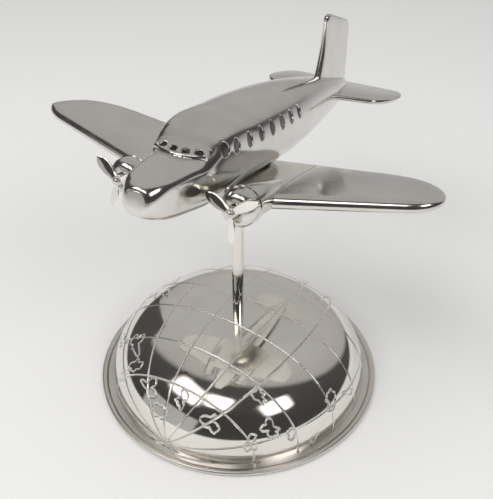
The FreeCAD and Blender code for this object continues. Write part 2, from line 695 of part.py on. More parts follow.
def fin_blank():
    """Upright fin; its top slopes down towards the tail and has small rounded corners."""
    wires = []
    for z in list(FIN_RIBS) + tip_stations(FIN_TOP, FIN_ROUND, 6):
        lead = FIN_LEAD[0] + FIN_LEAD[1] * z + FIN_KNEE * math.sin(math.pi * z / FIN_TOP)
        trail = FIN_TRAIL[0] + FIN_TRAIL[1] * z
        squeeze = rounding(FIN_TOP - z, FIN_ROUND)
        inset = FIN_ROUND * 0.9 * (1 - squeeze)
        share = z / FIN_TOP
        thickness = (FIN_THICKNESS[0] + (FIN_THICKNESS[1] - FIN_THICKNESS[0]) * share) * squeeze ** 0.8
        slope = FIN_SLOPES[0] + (FIN_SLOPES[1] - FIN_SLOPES[0]) * share
        fall = (trail - lead) * slope
        # the rib is drawn lying down, its fall as a sideways lean, and then stood up
        wire = wing_section(0, lead + inset, trail - inset, 0, 0, max(thickness, 0.5))
        wire.rotate(V(0, 0, 0), V(0, 1, 0), -90)
        wire.rotate(V(0, lead, 0), V(1, 0, 0), math.degrees(math.atan2(fall, trail - lead)))
        wire.translate(V(0, 0, z))
        wires.append(wire)
    return Part.makeLoft(wires, True, True)


# ---------------------------------------------------------------- assembly
def wing_underside(aft):
    """Height of the wing's underside on the centre plane."""
    chord = TRAIL_START - CENTRE_EDGE
    slope = TRAIL_LIFT / (TRAIL_START - EDGE_START)
    lower = [(place, up) for place, up in aerofoil(chord, ROOT_THICKNESS) if up <= 0]
    nearest = min(lower, key=lambda point: abs(point[0] + CENTRE_EDGE - aft))
    return WING_HEIGHT + (aft - EDGE_START) * slope + nearest[1]


def wing_screw(aft, gap=0.0):
    """A countersunk screw up through the wing into the mounting block; gap widens it into its hole."""
    head_radius, shank_radius, head_height = WING_SCREW
    low = V(0, aft, wing_underside(aft) + WING_SCREW_SINK)
    head = Part.makeCone(head_radius + gap, shank_radius + gap, head_height, low)
    shank = Part.makeCylinder(shank_radius + gap, WING_SCREW_TOP - low.z, low)
    return head.fuse(shank).removeSplitter()


def wing_screw_hole(aft):
    """The room a wing screw needs, open at the wing's underside."""
    head_radius, _, head_height = WING_SCREW
    low = V(0, aft, wing_underside(aft) + WING_SCREW_SINK - head_height)
    return wing_screw(aft, FIT_GAP).fuse(Part.makeCylinder(head_radius + FIT_GAP, head_height, low))


def make_aircraft():
    """Every aircraft node in the aircraft's own frame, and the plain wing used to trim the post's socket."""
    centre = centre_blank()
    panel = outer_panel_blank()
    nacelle = nacelle_blank()
    nacelles = Part.makeCompound([nacelle, mirror_port(nacelle)])
    cabin = fuselage_blank()
    rod = to_aircraft(Part.makeCylinder(ROD_RADIUS + FIT_GAP, CABIN_HEIGHT))
    holes = Part.makeCompound([wing_screw_hole(aft) for aft in WING_SCREW_PLACES])

    nodes = make_cabin(centre)
    nodes["fuselage"] = solid_of(nodes["fuselage"].cut(rod).cut(holes))
    nodes["wing_screws"] = Part.makeCompound([wing_screw(aft) for aft in WING_SCREW_PLACES])
    block = Part.makeBox(*BLOCK_SIZE, V(*BLOCK_CORNER))
    block = block.common(fuselage_blank(SKIN + FIT_GAP)).cut(centre).cut(holes).cut(rod)
    nodes["mounting_block"] = max(block.Solids, key=lambda s: s.Volume)
    nodes["wing_centre_section"] = solid_of(centre.cut(nacelles).cut(holes).cut(rod))

    nodes["port_wing"] = solid_of(panel.cut(nacelle))
    nodes["port_nacelle"] = nacelle
    nodes["port_cowl"] = make_cowl()
    nodes["port_engine"] = make_engine_core()
    nodes["port_propeller_pin"] = make_prop_pin()
    nodes["port_tailplane"] = solid_of(tail_blank().cut(cabin).cut(fin_blank()))
    for name in ("wing", "nacelle", "cowl", "engine", "propeller_pin", "tailplane"):
        nodes["starboard_" + name] = mirror_port(nodes["port_" + name])
    nodes["port_propeller"] = shift_x(make_propeller(BLADE_PHASE["port"]), ENGINE_OUT)
    nodes["starboard_propeller"] = shift_x(make_propeller(BLADE_PHASE["starboard"]), -ENGINE_OUT)
    nodes["fin"] = max(fin_blank().cut(cabin).Solids, key=lambda s: s.Volume)
    return nodes, centre


def main():
    os.makedirs("parts", exist_ok=True)
    aircraft, wing_blank = make_aircraft()
    nodes = make_base()
    nodes.update(make_post(place_aircraft(wing_blank)))
    for name, shape in aircraft.items():
        nodes[name] = place_aircraft(shape)
    for name, shape in nodes.items():
        box = shape.BoundBox
        print(name, "solids", len(shape.Solids), "valid", shape.isValid(), "volume", round(shape.Volume, 1),
              "box", [round(v, 1) for v in (box.XMin, box.YMin, box.ZMin, box.XMax, box.YMax, box.ZMax)])
        shape.exportStep(os.path.join("parts", name + ".step"))


main()
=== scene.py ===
"""Looks of the desktop airliner model: polished nickel castings over an engraved globe-dome base.

Everything is in the row frame. Shapes are worked out in millimetres and scaled to metres when a
mesh is made. The aircraft is shaped level, in its own frame (X port, Y aft, Z up, origin where the
cabin centreline crosses the post axis), and place_aircraft tilts it nose-up like the CAD nodes.
"""
import math

import bpy
import numpy as np
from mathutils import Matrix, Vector
from mathutils.geometry import delaunay_2d_cdt
from mathutils.kdtree import KDTree


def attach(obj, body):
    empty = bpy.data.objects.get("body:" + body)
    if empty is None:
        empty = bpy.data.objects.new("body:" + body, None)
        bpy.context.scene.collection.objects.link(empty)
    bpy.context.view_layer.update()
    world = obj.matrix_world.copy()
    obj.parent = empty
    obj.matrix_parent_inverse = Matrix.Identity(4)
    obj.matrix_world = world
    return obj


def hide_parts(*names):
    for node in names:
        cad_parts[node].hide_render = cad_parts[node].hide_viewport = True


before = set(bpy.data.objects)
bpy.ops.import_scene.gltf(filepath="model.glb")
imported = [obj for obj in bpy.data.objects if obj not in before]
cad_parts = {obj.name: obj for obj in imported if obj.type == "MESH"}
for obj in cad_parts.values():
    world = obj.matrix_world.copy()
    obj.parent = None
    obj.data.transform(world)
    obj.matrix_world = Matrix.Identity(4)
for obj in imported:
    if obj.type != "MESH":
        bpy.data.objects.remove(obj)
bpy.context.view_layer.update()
MM = 0.001
STAND = "stand_and_airframe"

# -------- dimensions, in millimetres
DOME_RADIUS = 91.2
DOME_FOOT = 1.5
DOME_RISE = 54.5
DOME_POWER = 2.32
DOME_WALL = 1.6
DOME_EDGE = 2.2  # height of the dome's lower edge
DOME_HOLE = 2.05  # radius of the hole for the tie rod

CABIN_HEIGHT = 195.4
NOSE_UP = math.radians(14.7)

# Fuselage stations: aft distance, top height, bottom height, half width
FUSELAGE = np.array([
    (-108.6, -6.8, -18.2, 6.2),
    (-108.2, -5.7, -19.3, 7.3),
    (-106.6, -4.1, -20.9, 9.0),
    (-103.0, -2.3, -22.3, 11.2),
    (-97.0, -0.7, -23.7, 13.3),
    (-88.0, 0.9, -24.9, 15.1),
    (-77.0, 2.4, -25.3, 16.8),
    (-70.0, 3.6, -25.5, 18.0),
    (-65.0, 7.0, -25.6, 19.2),
    (-58.0, 13.6, -25.6, 20.8),
    (-50.0, 18.4, -25.6, 22.2),
    (-36.0, 21.6, -25.6, 23.6),
    (-10.0, 23.6, -25.4, 24.6),
    (25.0, 24.0, -24.6, 24.4),
    (60.0, 22.8, -22.6, 22.6),
    (95.0, 19.8, -18.6, 19.2),
    (130.0, 15.6, -14.0, 14.6),
    (155.0, 12.2, -9.8, 10.8),
    (172.0, 9.8, -6.0, 7.4),
    (184.0, 7.8, -2.6, 4.6),
    (190.0, 6.0, 0.2, 2.4),
])

FRONT_POWER = 2.3  # superellipse power of the round front frame
NOSE_POWER = 4.0  # of the boxy frames behind it
CABIN_POWER = 2.15  # and of the frames from the wing to the tail
FRONT_FADE = (-108.6, -97.0)  # stations between which the first becomes the second
CABIN_FADE = (-75.0, -20.0)  # and the second the third
END_CAPS = (0.5, 1.4)  # how far the nose and the tail bulge past the end frames

SEMI_SPAN = 129.0
PANEL_JOINT = 42.0
CENTRE_EDGE = -40.0
EDGE_START = -48.9
EDGE_SWEEP = 0.242
TRAIL_START = 38.7
TRAIL_SWEEP = -0.11
WING_HEIGHT = -29.6
DIHEDRAL = 0.156
TRAIL_LIFT = 4.4
ROOT_THICKNESS = 9.4
TIP_THICKNESS = 7.0
TIP_ROUND = 44.0  # length over which the trailing edge curves in to the tip
TIP_FRONT_ROUND = 18.0  # the same for the leading edge
TIP_POWER = 2.6
TIP_PIVOT = 0.28  # where along the chord the tip's outline closes
NOSE_LENGTH = 0.55  # length of a section's rounded front, in thicknesses
NOSE_LIMIT = 0.45  # and the most that it may be, as a share of the chord
SECTION_TAPER = (0.9, 1.7)  # how much of its thickness a section loses behind, and how suddenly
SECTION_CREST = 1.12  # thickness over the chord line, and under it, as shares of an even half
SECTION_BELLY = 0.88
TRAIL_BLUNT = (0.04, 0.05)  # length and half height of the blunt trailing edge, in thicknesses
THIN_POWER = 0.8  # how fast a rounded tip gets thinner
MIRROR = np.array([-1, 1, 1])

ENGINE_OUT = 34.8
ENGINE_HEIGHT = -19.9
# Nacelle stations: aft distance, half width, half height, height of the middle
NACELLE = np.array([
    (-55.6, 9.4, 9.4, ENGINE_HEIGHT),
    (-48.0, 9.6, 9.6, ENGINE_HEIGHT - 0.3),
    (-38.0, 9.2, 9.2, ENGINE_HEIGHT - 1.2),
    (-24.0, 7.8, 7.6, ENGINE_HEIGHT - 2.6),
    (-8.0, 5.6, 5.4, ENGINE_HEIGHT - 3.6),
    (6.0, 3.2, 3.2, ENGINE_HEIGHT - 3.8),
    (14.0, 1.2, 1.2, ENGINE_HEIGHT - 3.8),
])
NACELLE_END = 1.6  # how far the rounded rear end stands out

TAIL_HALF_SPAN = 51.0
TAIL_LEAD = (129.5, 0.28)
TAIL_TRAIL = (198.0, -0.03)
TAIL_HEIGHT = (2.4, 0.02)
TAIL_THICKNESS = (5.0, 3.8)
TAIL_ROUND = 15.0
FIN_LEAD = (121.5, 0.085)
FIN_TRAIL = (194.6, -0.24)
FIN_TOP = 61.0
FIN_SLOPES = (-0.145, -0.170)
FIN_THICKNESS = (6.4, 4.4)
FIN_KNEE = 5.0  # how far the middle of the leading edge stands behind a straight one
FIN_ROUND = 7.0
FIN_CORNER = 0.9  # how far the top's corners are cut in, in roundings
FIN_EDGE = 0.12  # least thickness, at the very top

WINDOW_STATIONS = [-55.6] + [-45.4 + 14.5 * i for i in range(7)]
WINDOW_HEIGHT = 8.9
WINDOW_CLIMB = 0.036
WINDOW_HALF = (3.1, 4.1)  # along the cabin, up
WINDOW_WALL = (0.88, 1.04)  # where a window's soft wall starts and ends, as shares of its size
WINDOW_DEPTH = 1.25
SCREEN_FRONT = -72.6
SCREEN_CORNER = -67.2
SCREEN_BACK = -62.6
SCREEN_HALF_WIDTH = 16.0
SCREEN_STAND = 0.9
SCREEN_LOW = -8.0  # the windscreen's relief is only above this height
SCREEN_SOFT = 0.45  # half width of its soft edge
SCREEN_DEPTH = 0.6  # how far the band reaches down into the skin
SILL = (1.3, 1.2, 0.55)  # bead along the band's front edge: distance from it, half width, height
PANES = [(3.7, -68.2, 0.0), (10.8, -66.9, 14.0)]  # sideways, aft, turn in degrees
PANE_HALF = (2.2, 1.6)
PANE_WALL = (0.76, 1.06)
PANE_DEPTH = 3.3


# -------- mesh helpers
TINY = 1e-9  # keeps a length that is divided by above zero
OUTLINE_POINTS = 4000  # in the fine outlines that lengths are measured along


def place_aircraft(points):
    """Tilts points from the aircraft's own frame into the row frame."""
    x, y, z = np.moveaxis(np.asarray(points, float), -1, 0)
    c, s = math.cos(NOSE_UP), math.sin(NOSE_UP)
    return np.stack([x, y * c + z * s, CABIN_HEIGHT - y * s + z * c], axis=-1)


def new_object(name, data):
    """A new object in the scene."""
    made = bpy.data.objects.new(name, data)
    bpy.context.scene.collection.objects.link(made)
    return made


def make_piece(name, points, faces, material, nodes, normals=None, body=STAND):
    """A smooth mesh piece in the row frame that rides on a body and stands for CAD nodes."""
    mesh = bpy.data.meshes.new(name)
    mesh.from_pydata((np.asarray(points, float) * MM).tolist(), [], faces)
    mesh.validate()
    mesh.shade_smooth()
    if normals is not None:
        mesh.normals_split_custom_set_from_vertices(np.asarray(normals, float).tolist())
    mesh.materials.append(material)
    piece = new_object(name, mesh)
    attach(piece, body)
    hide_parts(*nodes)
    return piece


def grid_faces(rows, columns, closed=True):
    """Quads between the rows of a grid; a closed grid also joins its last column to its first."""
    faces = []
    for i in range(rows - 1):
        for j in range(columns if closed else columns - 1):
            k = (j + 1) % columns
            faces.append((i * columns + j, i * columns + k, (i + 1) * columns + k, (i + 1) * columns + j))
    return faces


def cap_faces(row, columns, flip):
    """One face that closes the ring of a row."""
    ring = [row * columns + j for j in range(columns)]
    return [tuple(ring[::-1] if flip else ring)]


def grid_normals(grid):
    """Outward unit normals of a grid of rings that run counter-clockwise seen from behind."""
    along = np.gradient(grid, axis=0)
    around = (np.roll(grid, -1, axis=1) - np.roll(grid, 1, axis=1)) / 2
    normals = np.cross(along, around)
    length = np.linalg.norm(normals, axis=2, keepdims=True)
    return normals / np.maximum(length, TINY)


def rounded_end(ring, depth, steps):
    """Smaller and smaller rings that bulge aft by a depth, from beside an end ring to its middle."""
    centre = ring.mean(axis=0)
    rings = []
    for turn in np.linspace(0, math.pi / 2, steps + 1)[1:-1]:
        smaller = centre + (ring - centre) * math.cos(turn)
        smaller[:, 1] += depth * math.sin(turn)
        rings.append(smaller)
    return np.array(rings)


def make_tube(name, grid, nodes, flip=False):
    """A closed nickel body from rings of points in the aircraft's frame, capped at both ends."""
    rows, columns = grid.shape[:2]
    faces = grid_faces(rows, columns) + cap_faces(0, columns, True) + cap_faces(rows - 1, columns, False)
    if flip:
        faces = [face[::-1] for face in faces]
    points = place_aircraft(grid.reshape(-1, 3))
    make_piece(name, points, faces, AIR_NICKEL_PAINTED_SHADE, nodes)


def spline(knots, values, at):
    """Natural cubic spline through values at knots, read at other places."""
    knots = np.asarray(knots, float)
    values = np.asarray(values, float)
    n = len(knots)
    step = np.diff(knots)
    matrix = np.eye(n)
    right = np.zeros(n)
    for i in range(1, n - 1):
        matrix[i, i - 1:i + 2] = step[i - 1], 2 * (step[i - 1] + step[i]), step[i]
        right[i] = 6 * ((values[i + 1] - values[i]) / step[i] - (values[i] - values[i - 1]) / step[i - 1])
    bend = np.linalg.solve(matrix, right)
    k = np.clip(np.searchsorted(knots, at) - 1, 0, n - 2)
    h = step[k]
    a = (knots[k + 1] - at) / h
    b = (at - knots[k]) / h
    curve = (a ** 3 - a) * bend[k] + (b ** 3 - b) * bend[k + 1]
    return a * values[k] + b * values[k + 1] + curve * h * h / 6


def smoothstep(low, high, value):
    """0 below low, 1 above high and a smooth step between."""
    t = np.clip((value - low) / (high - low), 0.0, 1.0)
    return t * t * (3 - 2 * t)


def between(ends, share):
    """The value a share of the way from the first end to the second."""
    return ends[0] + (ends[1] - ends[0]) * share


def graded(start, end, spacing):
    """Places from start to end whose spacing follows a function of the place."""
    places = [start]
    while places[-1] < end:
        places.append(places[-1] + spacing(places[-1]))
    places = np.array(places)
    return start + (places - start) * (end - start) / (places[-1] - start)


# -------- materials
def new_material(name, colour, metallic, roughness):
    """A node material with its constants on the shader's own sockets."""
    material = bpy.data.materials.new(name)
    material.use_nodes = True
    shader = material.node_tree.nodes["Principled BSDF"]
    shader.inputs["Base Color"].default_value = (*colour, 1.0)
    shader.inputs["Metallic"].default_value = metallic
    shader.inputs["Roughness"].default_value = roughness
    return material, material.node_tree, shader


def noise(tree, scale, detail=3.0, stretch=(1, 1, 1)):
    """Noise in object space, features about 1/scale metres; stretch squeezes it along an axis."""
    place = tree.nodes.new("ShaderNodeTexCoord")
    mapping = tree.nodes.new("ShaderNodeMapping")
    mapping.inputs["Scale"].default_value = stretch
    texture = tree.nodes.new("ShaderNodeTexNoise")
    texture.inputs["Scale"].default_value = scale
    texture.inputs["Detail"].default_value = detail
    tree.links.new(place.outputs["Object"], mapping.inputs["Vector"])
    tree.links.new(mapping.outputs["Vector"], texture.inputs["Vector"])
    return texture.outputs["Fac"]


def operation(tree, kind, name):
    """A vector or maths node set to its operation."""
    node = tree.nodes.new(kind)
    node.operation = name
    return node


def ranged(tree, value, low, high, start=0.3, end=0.7):
    """Maps a noise onto the values from low to high."""
    node = tree.nodes.new("ShaderNodeMapRange")
    node.inputs["From Min"].default_value = start
    node.inputs["From Max"].default_value = end
    node.inputs["To Min"].default_value = low
    node.inputs["To Max"].default_value = high
    tree.links.new(value, node.inputs["Value"])
    return node.outputs["Result"]


def coloured(tree, value, stops):
    """Turns a value into colours; the stops are (value, colour) in rising order."""
    ramp = tree.nodes.new("ShaderNodeValToRGB")
    elements = ramp.color_ramp.elements
    for k, (position, colour) in enumerate(stops):
        element = elements[k] if k < len(elements) else elements.new(position)
        element.position = position
        element.color = (*colour, 1.0)
    tree.links.new(value, ramp.inputs["Fac"])
    return ramp.outputs["Color"]


def tinted(tree, shader, value, first, second):
    """Base colour that wanders between two tints with a noise."""
    colour = coloured(tree, value, [(0.35, first), (0.65, second)])
    tree.links.new(colour, shader.inputs["Base Color"])


def bumped(tree, shader, heights):
    """Stacks bumps, each (height noise, strength, height in metres), under the shader's normal."""
    previous = None
    for value, strength, distance in heights:
        bump = tree.nodes.new("ShaderNodeBump")
        bump.inputs["Strength"].default_value = strength
        bump.inputs["Distance"].default_value = distance
        tree.links.new(value, bump.inputs["Height"])
        if previous is not None:
            tree.links.new(previous, bump.inputs["Normal"])
        previous = bump.outputs["Normal"]
    tree.links.new(previous, shader.inputs["Normal"])


def polished_nickel(name, light, dark, gloss, wave):
    """Mirror-polished nickel plate: hand-polish haze, hairline scratches and the casting's slow waves."""
    patches = 38.0
    rubbing = 90.0
    waves = 45.0
    scratches = 900.0
    material, tree, shader = new_material(name, light, 1.0, gloss[0])
    tinted(tree, shader, noise(tree, patches, 4.0), dark, light)
    haze = noise(tree, rubbing, 6.0)
    tree.links.new(ranged(tree, haze, *gloss), shader.inputs["Roughness"])
    hairlines = noise(tree, scratches, 2.0, (0.05, 1.0, 1.0))
    bumped(tree, shader, [(noise(tree, waves, 1.0), 1.0, wave), (hairlines, 0.25, 0.004 * MM)])
    return material


def satin_metal(name, light, dark, roughness, grain):
    """Cast or machined metal with an even grain."""
    patches = 160.0
    rubbing = 420.0
    material, tree, shader = new_material(name, light, 1.0, roughness)
    tinted(tree, shader, noise(tree, patches, 5.0), dark, light)
    worn = ranged(tree, noise(tree, rubbing), roughness * 0.8, roughness * 1.25)
    tree.links.new(worn, shader.inputs["Roughness"])
    bumped(tree, shader, [(noise(tree, grain, 4.0), 0.5, 0.03 * MM)])
    return material


def felt_material():
    """Dark green felt: short matted fibres."""
    dark, light = (0.010, 0.024, 0.018), (0.028, 0.062, 0.046)
    material, tree, shader = new_material("felt_cloth", (0.02, 0.05, 0.035), 0.0, 0.95)
    tinted(tree, shader, noise(tree, 700.0, 6.0), dark, light)
    shader.inputs["Sheen Weight"].default_value = 0.4
    fibres = noise(tree, 2600.0, 4.0, (1.0, 0.35, 1.0))
    bumped(tree, shader, [(fibres, 0.8, 0.2 * MM)])
    return material


def board_material():
    """Brown pressed board of the bottom plate."""
    dark, light = (0.13, 0.075, 0.04), (0.27, 0.17, 0.10)
    material, tree, shader = new_material("pressed_board", (0.20, 0.12, 0.07), 0.0, 0.8)
    tinted(tree, shader, noise(tree, 900.0, 6.0, (1.0, 0.3, 1.0)), dark, light)
    bumped(tree, shader, [(noise(tree, 1500.0, 4.0), 0.6, 0.1 * MM)])
    return material


# Nickel plate: light and dark tint, best and dullest roughness, height of the waves
NICKEL_LIGHT = (0.86, 0.83, 0.79)
NICKEL_DARK = (0.80, 0.765, 0.72)
BASE_NICKEL = polished_nickel(
    "base_nickel_polished", NICKEL_LIGHT, NICKEL_DARK, (0.055, 0.110), 0.01 * MM)
RING_NICKEL = polished_nickel(
    "foot_ring_nickel", (0.82, 0.79, 0.75), (0.74, 0.71, 0.67), (0.30, 0.38), 0.01 * MM)
# The aircraft's nickel is the base's plate, tinted darker to dim its reflections: painted shade over the
# metal's own tone
AIR_NICKEL_PAINTED_SHADE = polished_nickel(
    "aircraft_nickel_painted_shade", (0.75, 0.735, 0.705), (0.69, 0.67, 0.635), (0.11, 0.20), 0.04 * MM)
POST_NICKEL = polished_nickel(
    "post_nickel_polished", (0.84, 0.81, 0.77), (0.77, 0.735, 0.69), (0.05, 0.10), 0.01 * MM)
FINE_NICKEL = polished_nickel(
    "propeller_nickel_polished", NICKEL_LIGHT, NICKEL_DARK, (0.08, 0.16), 0.02 * MM)
# Satin metals: light and dark tint, roughness, grain per metre
ENGRAVED = satin_metal("base_nickel_engraved", (0.92, 0.90, 0.87), (0.84, 0.81, 0.77), 0.46, 1800.0)
ENGINE_NICKEL = satin_metal("engine_nickel_satin", (0.76, 0.73, 0.69), (0.62, 0.59, 0.55), 0.22, 1200.0)
# Windscreen panes: near-black painted shade, standing in for the dark hollow behind the openings
PANE_PAINTED_SHADE = satin_metal("windscreen_pane_painted_shade", (0.10, 0.10, 0.095), (0.05, 0.05, 0.048), 0.22, 900.0)
# Cabin windows: dark grey painted shade, standing in for the shade inside the window recesses
WINDOW_PAINTED_SHADE = satin_metal("cabin_window_painted_shade", (0.26, 0.255, 0.25), (0.17, 0.167, 0.163), 0.40, 900.0)
STEEL = satin_metal("zinc_plated_steel", (0.62, 0.62, 0.60), (0.50, 0.50, 0.49), 0.32, 1500.0)
IRON = satin_metal("cast_iron_ballast", (0.20, 0.19, 0.18), (0.12, 0.115, 0.11), 0.62, 700.0)
ALUMINIUM = satin_metal("block_aluminium_milled", (0.72, 0.72, 0.71), (0.63, 0.63, 0.62), 0.38, 1100.0)
FELT = felt_material()
BOARD = board_material()

NODE_MATERIALS = {
    "felt_pad": FELT, "bottom_plate": BOARD, "ballast_disc": IRON, "base_screws": STEEL,
    "rod_nut": STEEL, "rod_washer": STEEL, "tie_rod": STEEL, "wing_screws": STEEL,
    "mounting_block": ALUMINIUM, "foot_ring": RING_NICKEL, "post_tube": POST_NICKEL,
    "post_socket": POST_NICKEL, "windscreen_panes": PANE_PAINTED_SHADE,
    "port_cabin_windows": WINDOW_PAINTED_SHADE, "starboard_cabin_windows": WINDOW_PAINTED_SHADE,
}
for side in ("port_", "starboard_"):
    NODE_MATERIALS[side + "cowl"] = AIR_NICKEL_PAINTED_SHADE
    NODE_MATERIALS[side + "engine"] = ENGINE_NICKEL
    NODE_MATERIALS[side + "propeller_pin"] = ENGINE_NICKEL
    NODE_MATERIALS[side + "propeller"] = FINE_NICKEL


def finish_cad_nodes():
    """Gives every CAD node that stays in view its detailed material."""
    for node, material in NODE_MATERIALS.items():
        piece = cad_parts[node]
        for slot in piece.material_slots:
            slot.material = material


# -------- engraved globe dome
GROOVE_HALF = 0.95  # half width of an engraved line
GROOVE_DEPTH = 0.45
GROOVE_EDGE = 0.04  # a groove shows its own finish where it is deeper than this share
GROOVE_SPARE = 0.5  # room between a groove and the plain mesh
LINE_GAP = 0.9  # gap between the points of a line
SAMPLE_GAP = 0.2  # and between the places that the depth is measured from
FIELD_GAP = 1.7  # size of the plain mesh's triangles
FIELD_ROW = 0.87  # gap between their rows, in sizes
FIELD_EDGES = (1.0, 0.8)  # room round the hole and inside the rim where it stops
LINE_EDGES = (0.6, 1.2)  # and where the lines stop
RIM_SIDES = 192
INSIDE_ROWS = 40
GLOBE_POLE = Vector((-0.083, -0.992, 0.094)).normalized()
PARALLELS = (-52.0, -36.0, -20.0, -3.0, 14.0, 33.0, 52.0)
MERIDIANS = (-84.0, -56.0, -28.0, -7.0, 15.0, 33.0, 68.0, 98.0)
# Invented land outlines: bearing and fall from the dome's top in degrees, size in mm, seed
LANDS = [
    (-152, 62, 6, 3), (-141, 50, 7, 4), (-128, 55, 6, 5), (-131, 66, 5, 16), (-112, 56, 7, 6),
    (-101, 64, 6, 7), (-92, 52, 5, 17), (-76, 60, 6, 8), (-58, 72, 5, 9), (-49, 64, 6, 18),
    (-40, 71, 4, 19), (-16, 64, 6, 10), (-4, 70, 5, 20), (-52, 46, 5, 11), (-30, 82, 4, 21),
    (62, 50, 17, 12), (122, 60, 19, 13), (170, 48, 15, 14), (-170, 66, 8, 15), (38, 76, 7, 22),
]
COAST_WAVES = range(2, 10)  # ripples round a coast
COAST_RIPPLE = 0.55  # size of the ripples, shared by their number
COAST_LIMITS = (0.30, 1.9)
COAST_FLATNESS = (0.45, 0.8)
SQUASH = np.array([DOME_RADIUS, DOME_RADIUS, DOME_RISE])
FOOT = np.array([0, 0, DOME_FOOT])


def dome_profile(inset=0.0):
    """Dense outline of the dome from its top to its edge: arc length, radius, height."""
    edge = math.asin(((DOME_EDGE - DOME_FOOT) / (DOME_RISE - inset)) ** (DOME_POWER / 2))
    angle = np.linspace(math.pi / 2, edge, OUTLINE_POINTS)
    radius = (DOME_RADIUS - inset) * np.cos(angle).clip(0) ** (2 / DOME_POWER)
    height = DOME_FOOT + (DOME_RISE - inset) * np.sin(angle) ** (2 / DOME_POWER)
    length = np.concatenate([[0], np.cumsum(np.hypot(np.diff(radius), np.diff(height)))])
    return length, radius, height


def dome_normals(points):
    """Outward unit normals of the plain dome at points on it."""
    x, y, z = np.moveaxis(points, -1, 0)
    radius = np.maximum(np.hypot(x, y), TINY)
    side = (radius / DOME_RADIUS) ** (DOME_POWER - 1) / DOME_RADIUS
    up = (np.maximum(z - DOME_FOOT, 0.0) / DOME_RISE) ** (DOME_POWER - 1) / DOME_RISE
    normals = np.stack([side * x / radius, side * y / radius, up], axis=-1)
    return normals / np.linalg.norm(normals, axis=-1, keepdims=True)


def onto_dome(directions):
    """Where rays from the centre of the dome's foot meet it."""
    directions = np.asarray(directions, float)
    across = np.hypot(directions[:, 0], directions[:, 1]) / DOME_RADIUS
    up = np.abs(directions[:, 2]) / DOME_RISE
    reach = (across ** DOME_POWER + up ** DOME_POWER) ** (-1 / DOME_POWER)
    return directions * reach[:, None] + FOOT


def globe_circle(axis, sine):
    """The part above the foot of a circle on the unit ball about an axis, squashed onto the dome."""
    axis = Vector(axis)
    first = axis.orthogonal().normalized()
    second = axis.cross(first)
    turn = np.linspace(0, 2 * math.pi, 720, endpoint=False)[:, None]
    circle = np.array(first) * np.cos(turn) + np.array(second) * np.sin(turn)
    ball = np.array(axis) * sine + circle * math.sqrt(1 - sine * sine)
    start = int(np.argmin(ball[:, 2]))
    ball = np.roll(ball, -start, axis=0)
    return onto_dome(ball[ball[:, 2] > 0.0] * SQUASH)


def evenly(points, gap):
    """A line of points at an even gap."""
    steps = np.linalg.norm(np.diff(points, axis=0), axis=1)
    length = np.concatenate([[0], np.cumsum(steps)])
    count = max(4, int(round(length[-1] / gap)))
    at = np.linspace(0, length[-1], count + 1)
    return np.stack([np.interp(at, length, points[:, k]) for k in range(3)], axis=1)


def land_outline(bearing, fall, size, seed):
    """A closed, wriggling coast about a place on the dome."""
    dice = np.random.default_rng(seed)
    bearing, fall = math.radians(bearing), math.radians(fall)
    flat = math.sin(fall)
    centre = np.array([[math.cos(bearing) * flat, math.sin(bearing) * flat, math.cos(fall)]])
    middle = onto_dome(centre * SQUASH)[0]
    normal = dome_normals(middle[None])[0]
    first = np.cross(normal, (0.0, 0.0, 1.0))
    first /= np.linalg.norm(first)
    second = np.cross(normal, first)
    turn = np.linspace(0, 2 * math.pi, 241)
    reach = np.ones_like(turn)
    for wave in COAST_WAVES:
        reach += dice.normal(0, COAST_RIPPLE / wave) * np.cos(wave * turn + dice.uniform(0, 2 * math.pi))
    reach = size * np.clip(reach, *COAST_LIMITS)
    slant = dice.uniform(0, math.pi)
    long = reach * np.cos(turn)
    short = reach * np.sin(turn) * dice.uniform(*COAST_FLATNESS)
    along = long * math.cos(slant) - short * math.sin(slant)
    up = long * math.sin(slant) + short * math.cos(slant)
    coast = onto_dome(middle + np.outer(along, first) + np.outer(up, second) - FOOT)
    coast[-1] = coast[0]
    return coast


def engraved_lines():
    """Every engraved line on the dome: parallels, meridians and coasts."""
    lines = []
    first = Vector((0, 0, 1)).cross(GLOBE_POLE).normalized()
    up = GLOBE_POLE.cross(first).normalized()
    for latitude in PARALLELS:
        lines.append(globe_circle(GLOBE_POLE, math.sin(math.radians(latitude))))
    for longitude in MERIDIANS:
        turn = math.radians(longitude)
        across = first * math.cos(turn) - up * math.sin(turn)
        lines.append(globe_circle(across.normalized(), 0.0))
    lines += [land_outline(*land) for land in LANDS]
    return [evenly(line, LINE_GAP) for line in lines]


def polar(reach, bearing):
    """Plan points at distances and bearings from the middle."""
    return np.stack([reach * np.cos(bearing), reach * np.sin(bearing)], axis=-1)


def to_plan(points, profile):
    """Flattens points on the dome to a plan with true distances from the top."""
    length, _, height = profile
    along = np.interp(-points[:, 2], -height, length)
    bearing = np.arctan2(points[:, 1], points[:, 0])
    return polar(along, bearing)


def from_plan(plan, profile):
    """The reverse of to_plan."""
    length, radius, height = profile
    along = np.hypot(plan[:, 0], plan[:, 1])
    bearing = np.arctan2(plan[:, 1], plan[:, 0])
    across = polar(np.interp(along, length, radius), bearing)
    return np.column_stack([across, np.interp(along, length, height)])


def groove_rows(lines, profile, hole_at, edge_at, count):
    """Rows of plan points along and beside each line, and the edges that join each row's neighbours."""
    plan = []
    edges = []
    for line in lines:
        ahead = np.gradient(line, axis=0)
        ahead /= np.linalg.norm(ahead, axis=1, keepdims=True)
        across = np.cross(dome_normals(line), ahead)
        for side in (-1.0, -0.5, 0.0, 0.5, 1.0):
            flat = to_plan(onto_dome(line + across * side * GROOVE_HALF - FOOT), profile)
            reach = np.hypot(flat[:, 0], flat[:, 1])
            keep = (reach > hole_at + LINE_EDGES[0]) & (reach < edge_at - LINE_EDGES[1])
            number = np.full(len(flat), -1)
            number[keep] = count + np.arange(keep.sum())
            edges += [(int(a), int(b)) for a, b in zip(number, number[1:]) if a >= 0 and b >= 0]
            plan.append(flat[keep])
            count += int(keep.sum())
    return plan, edges


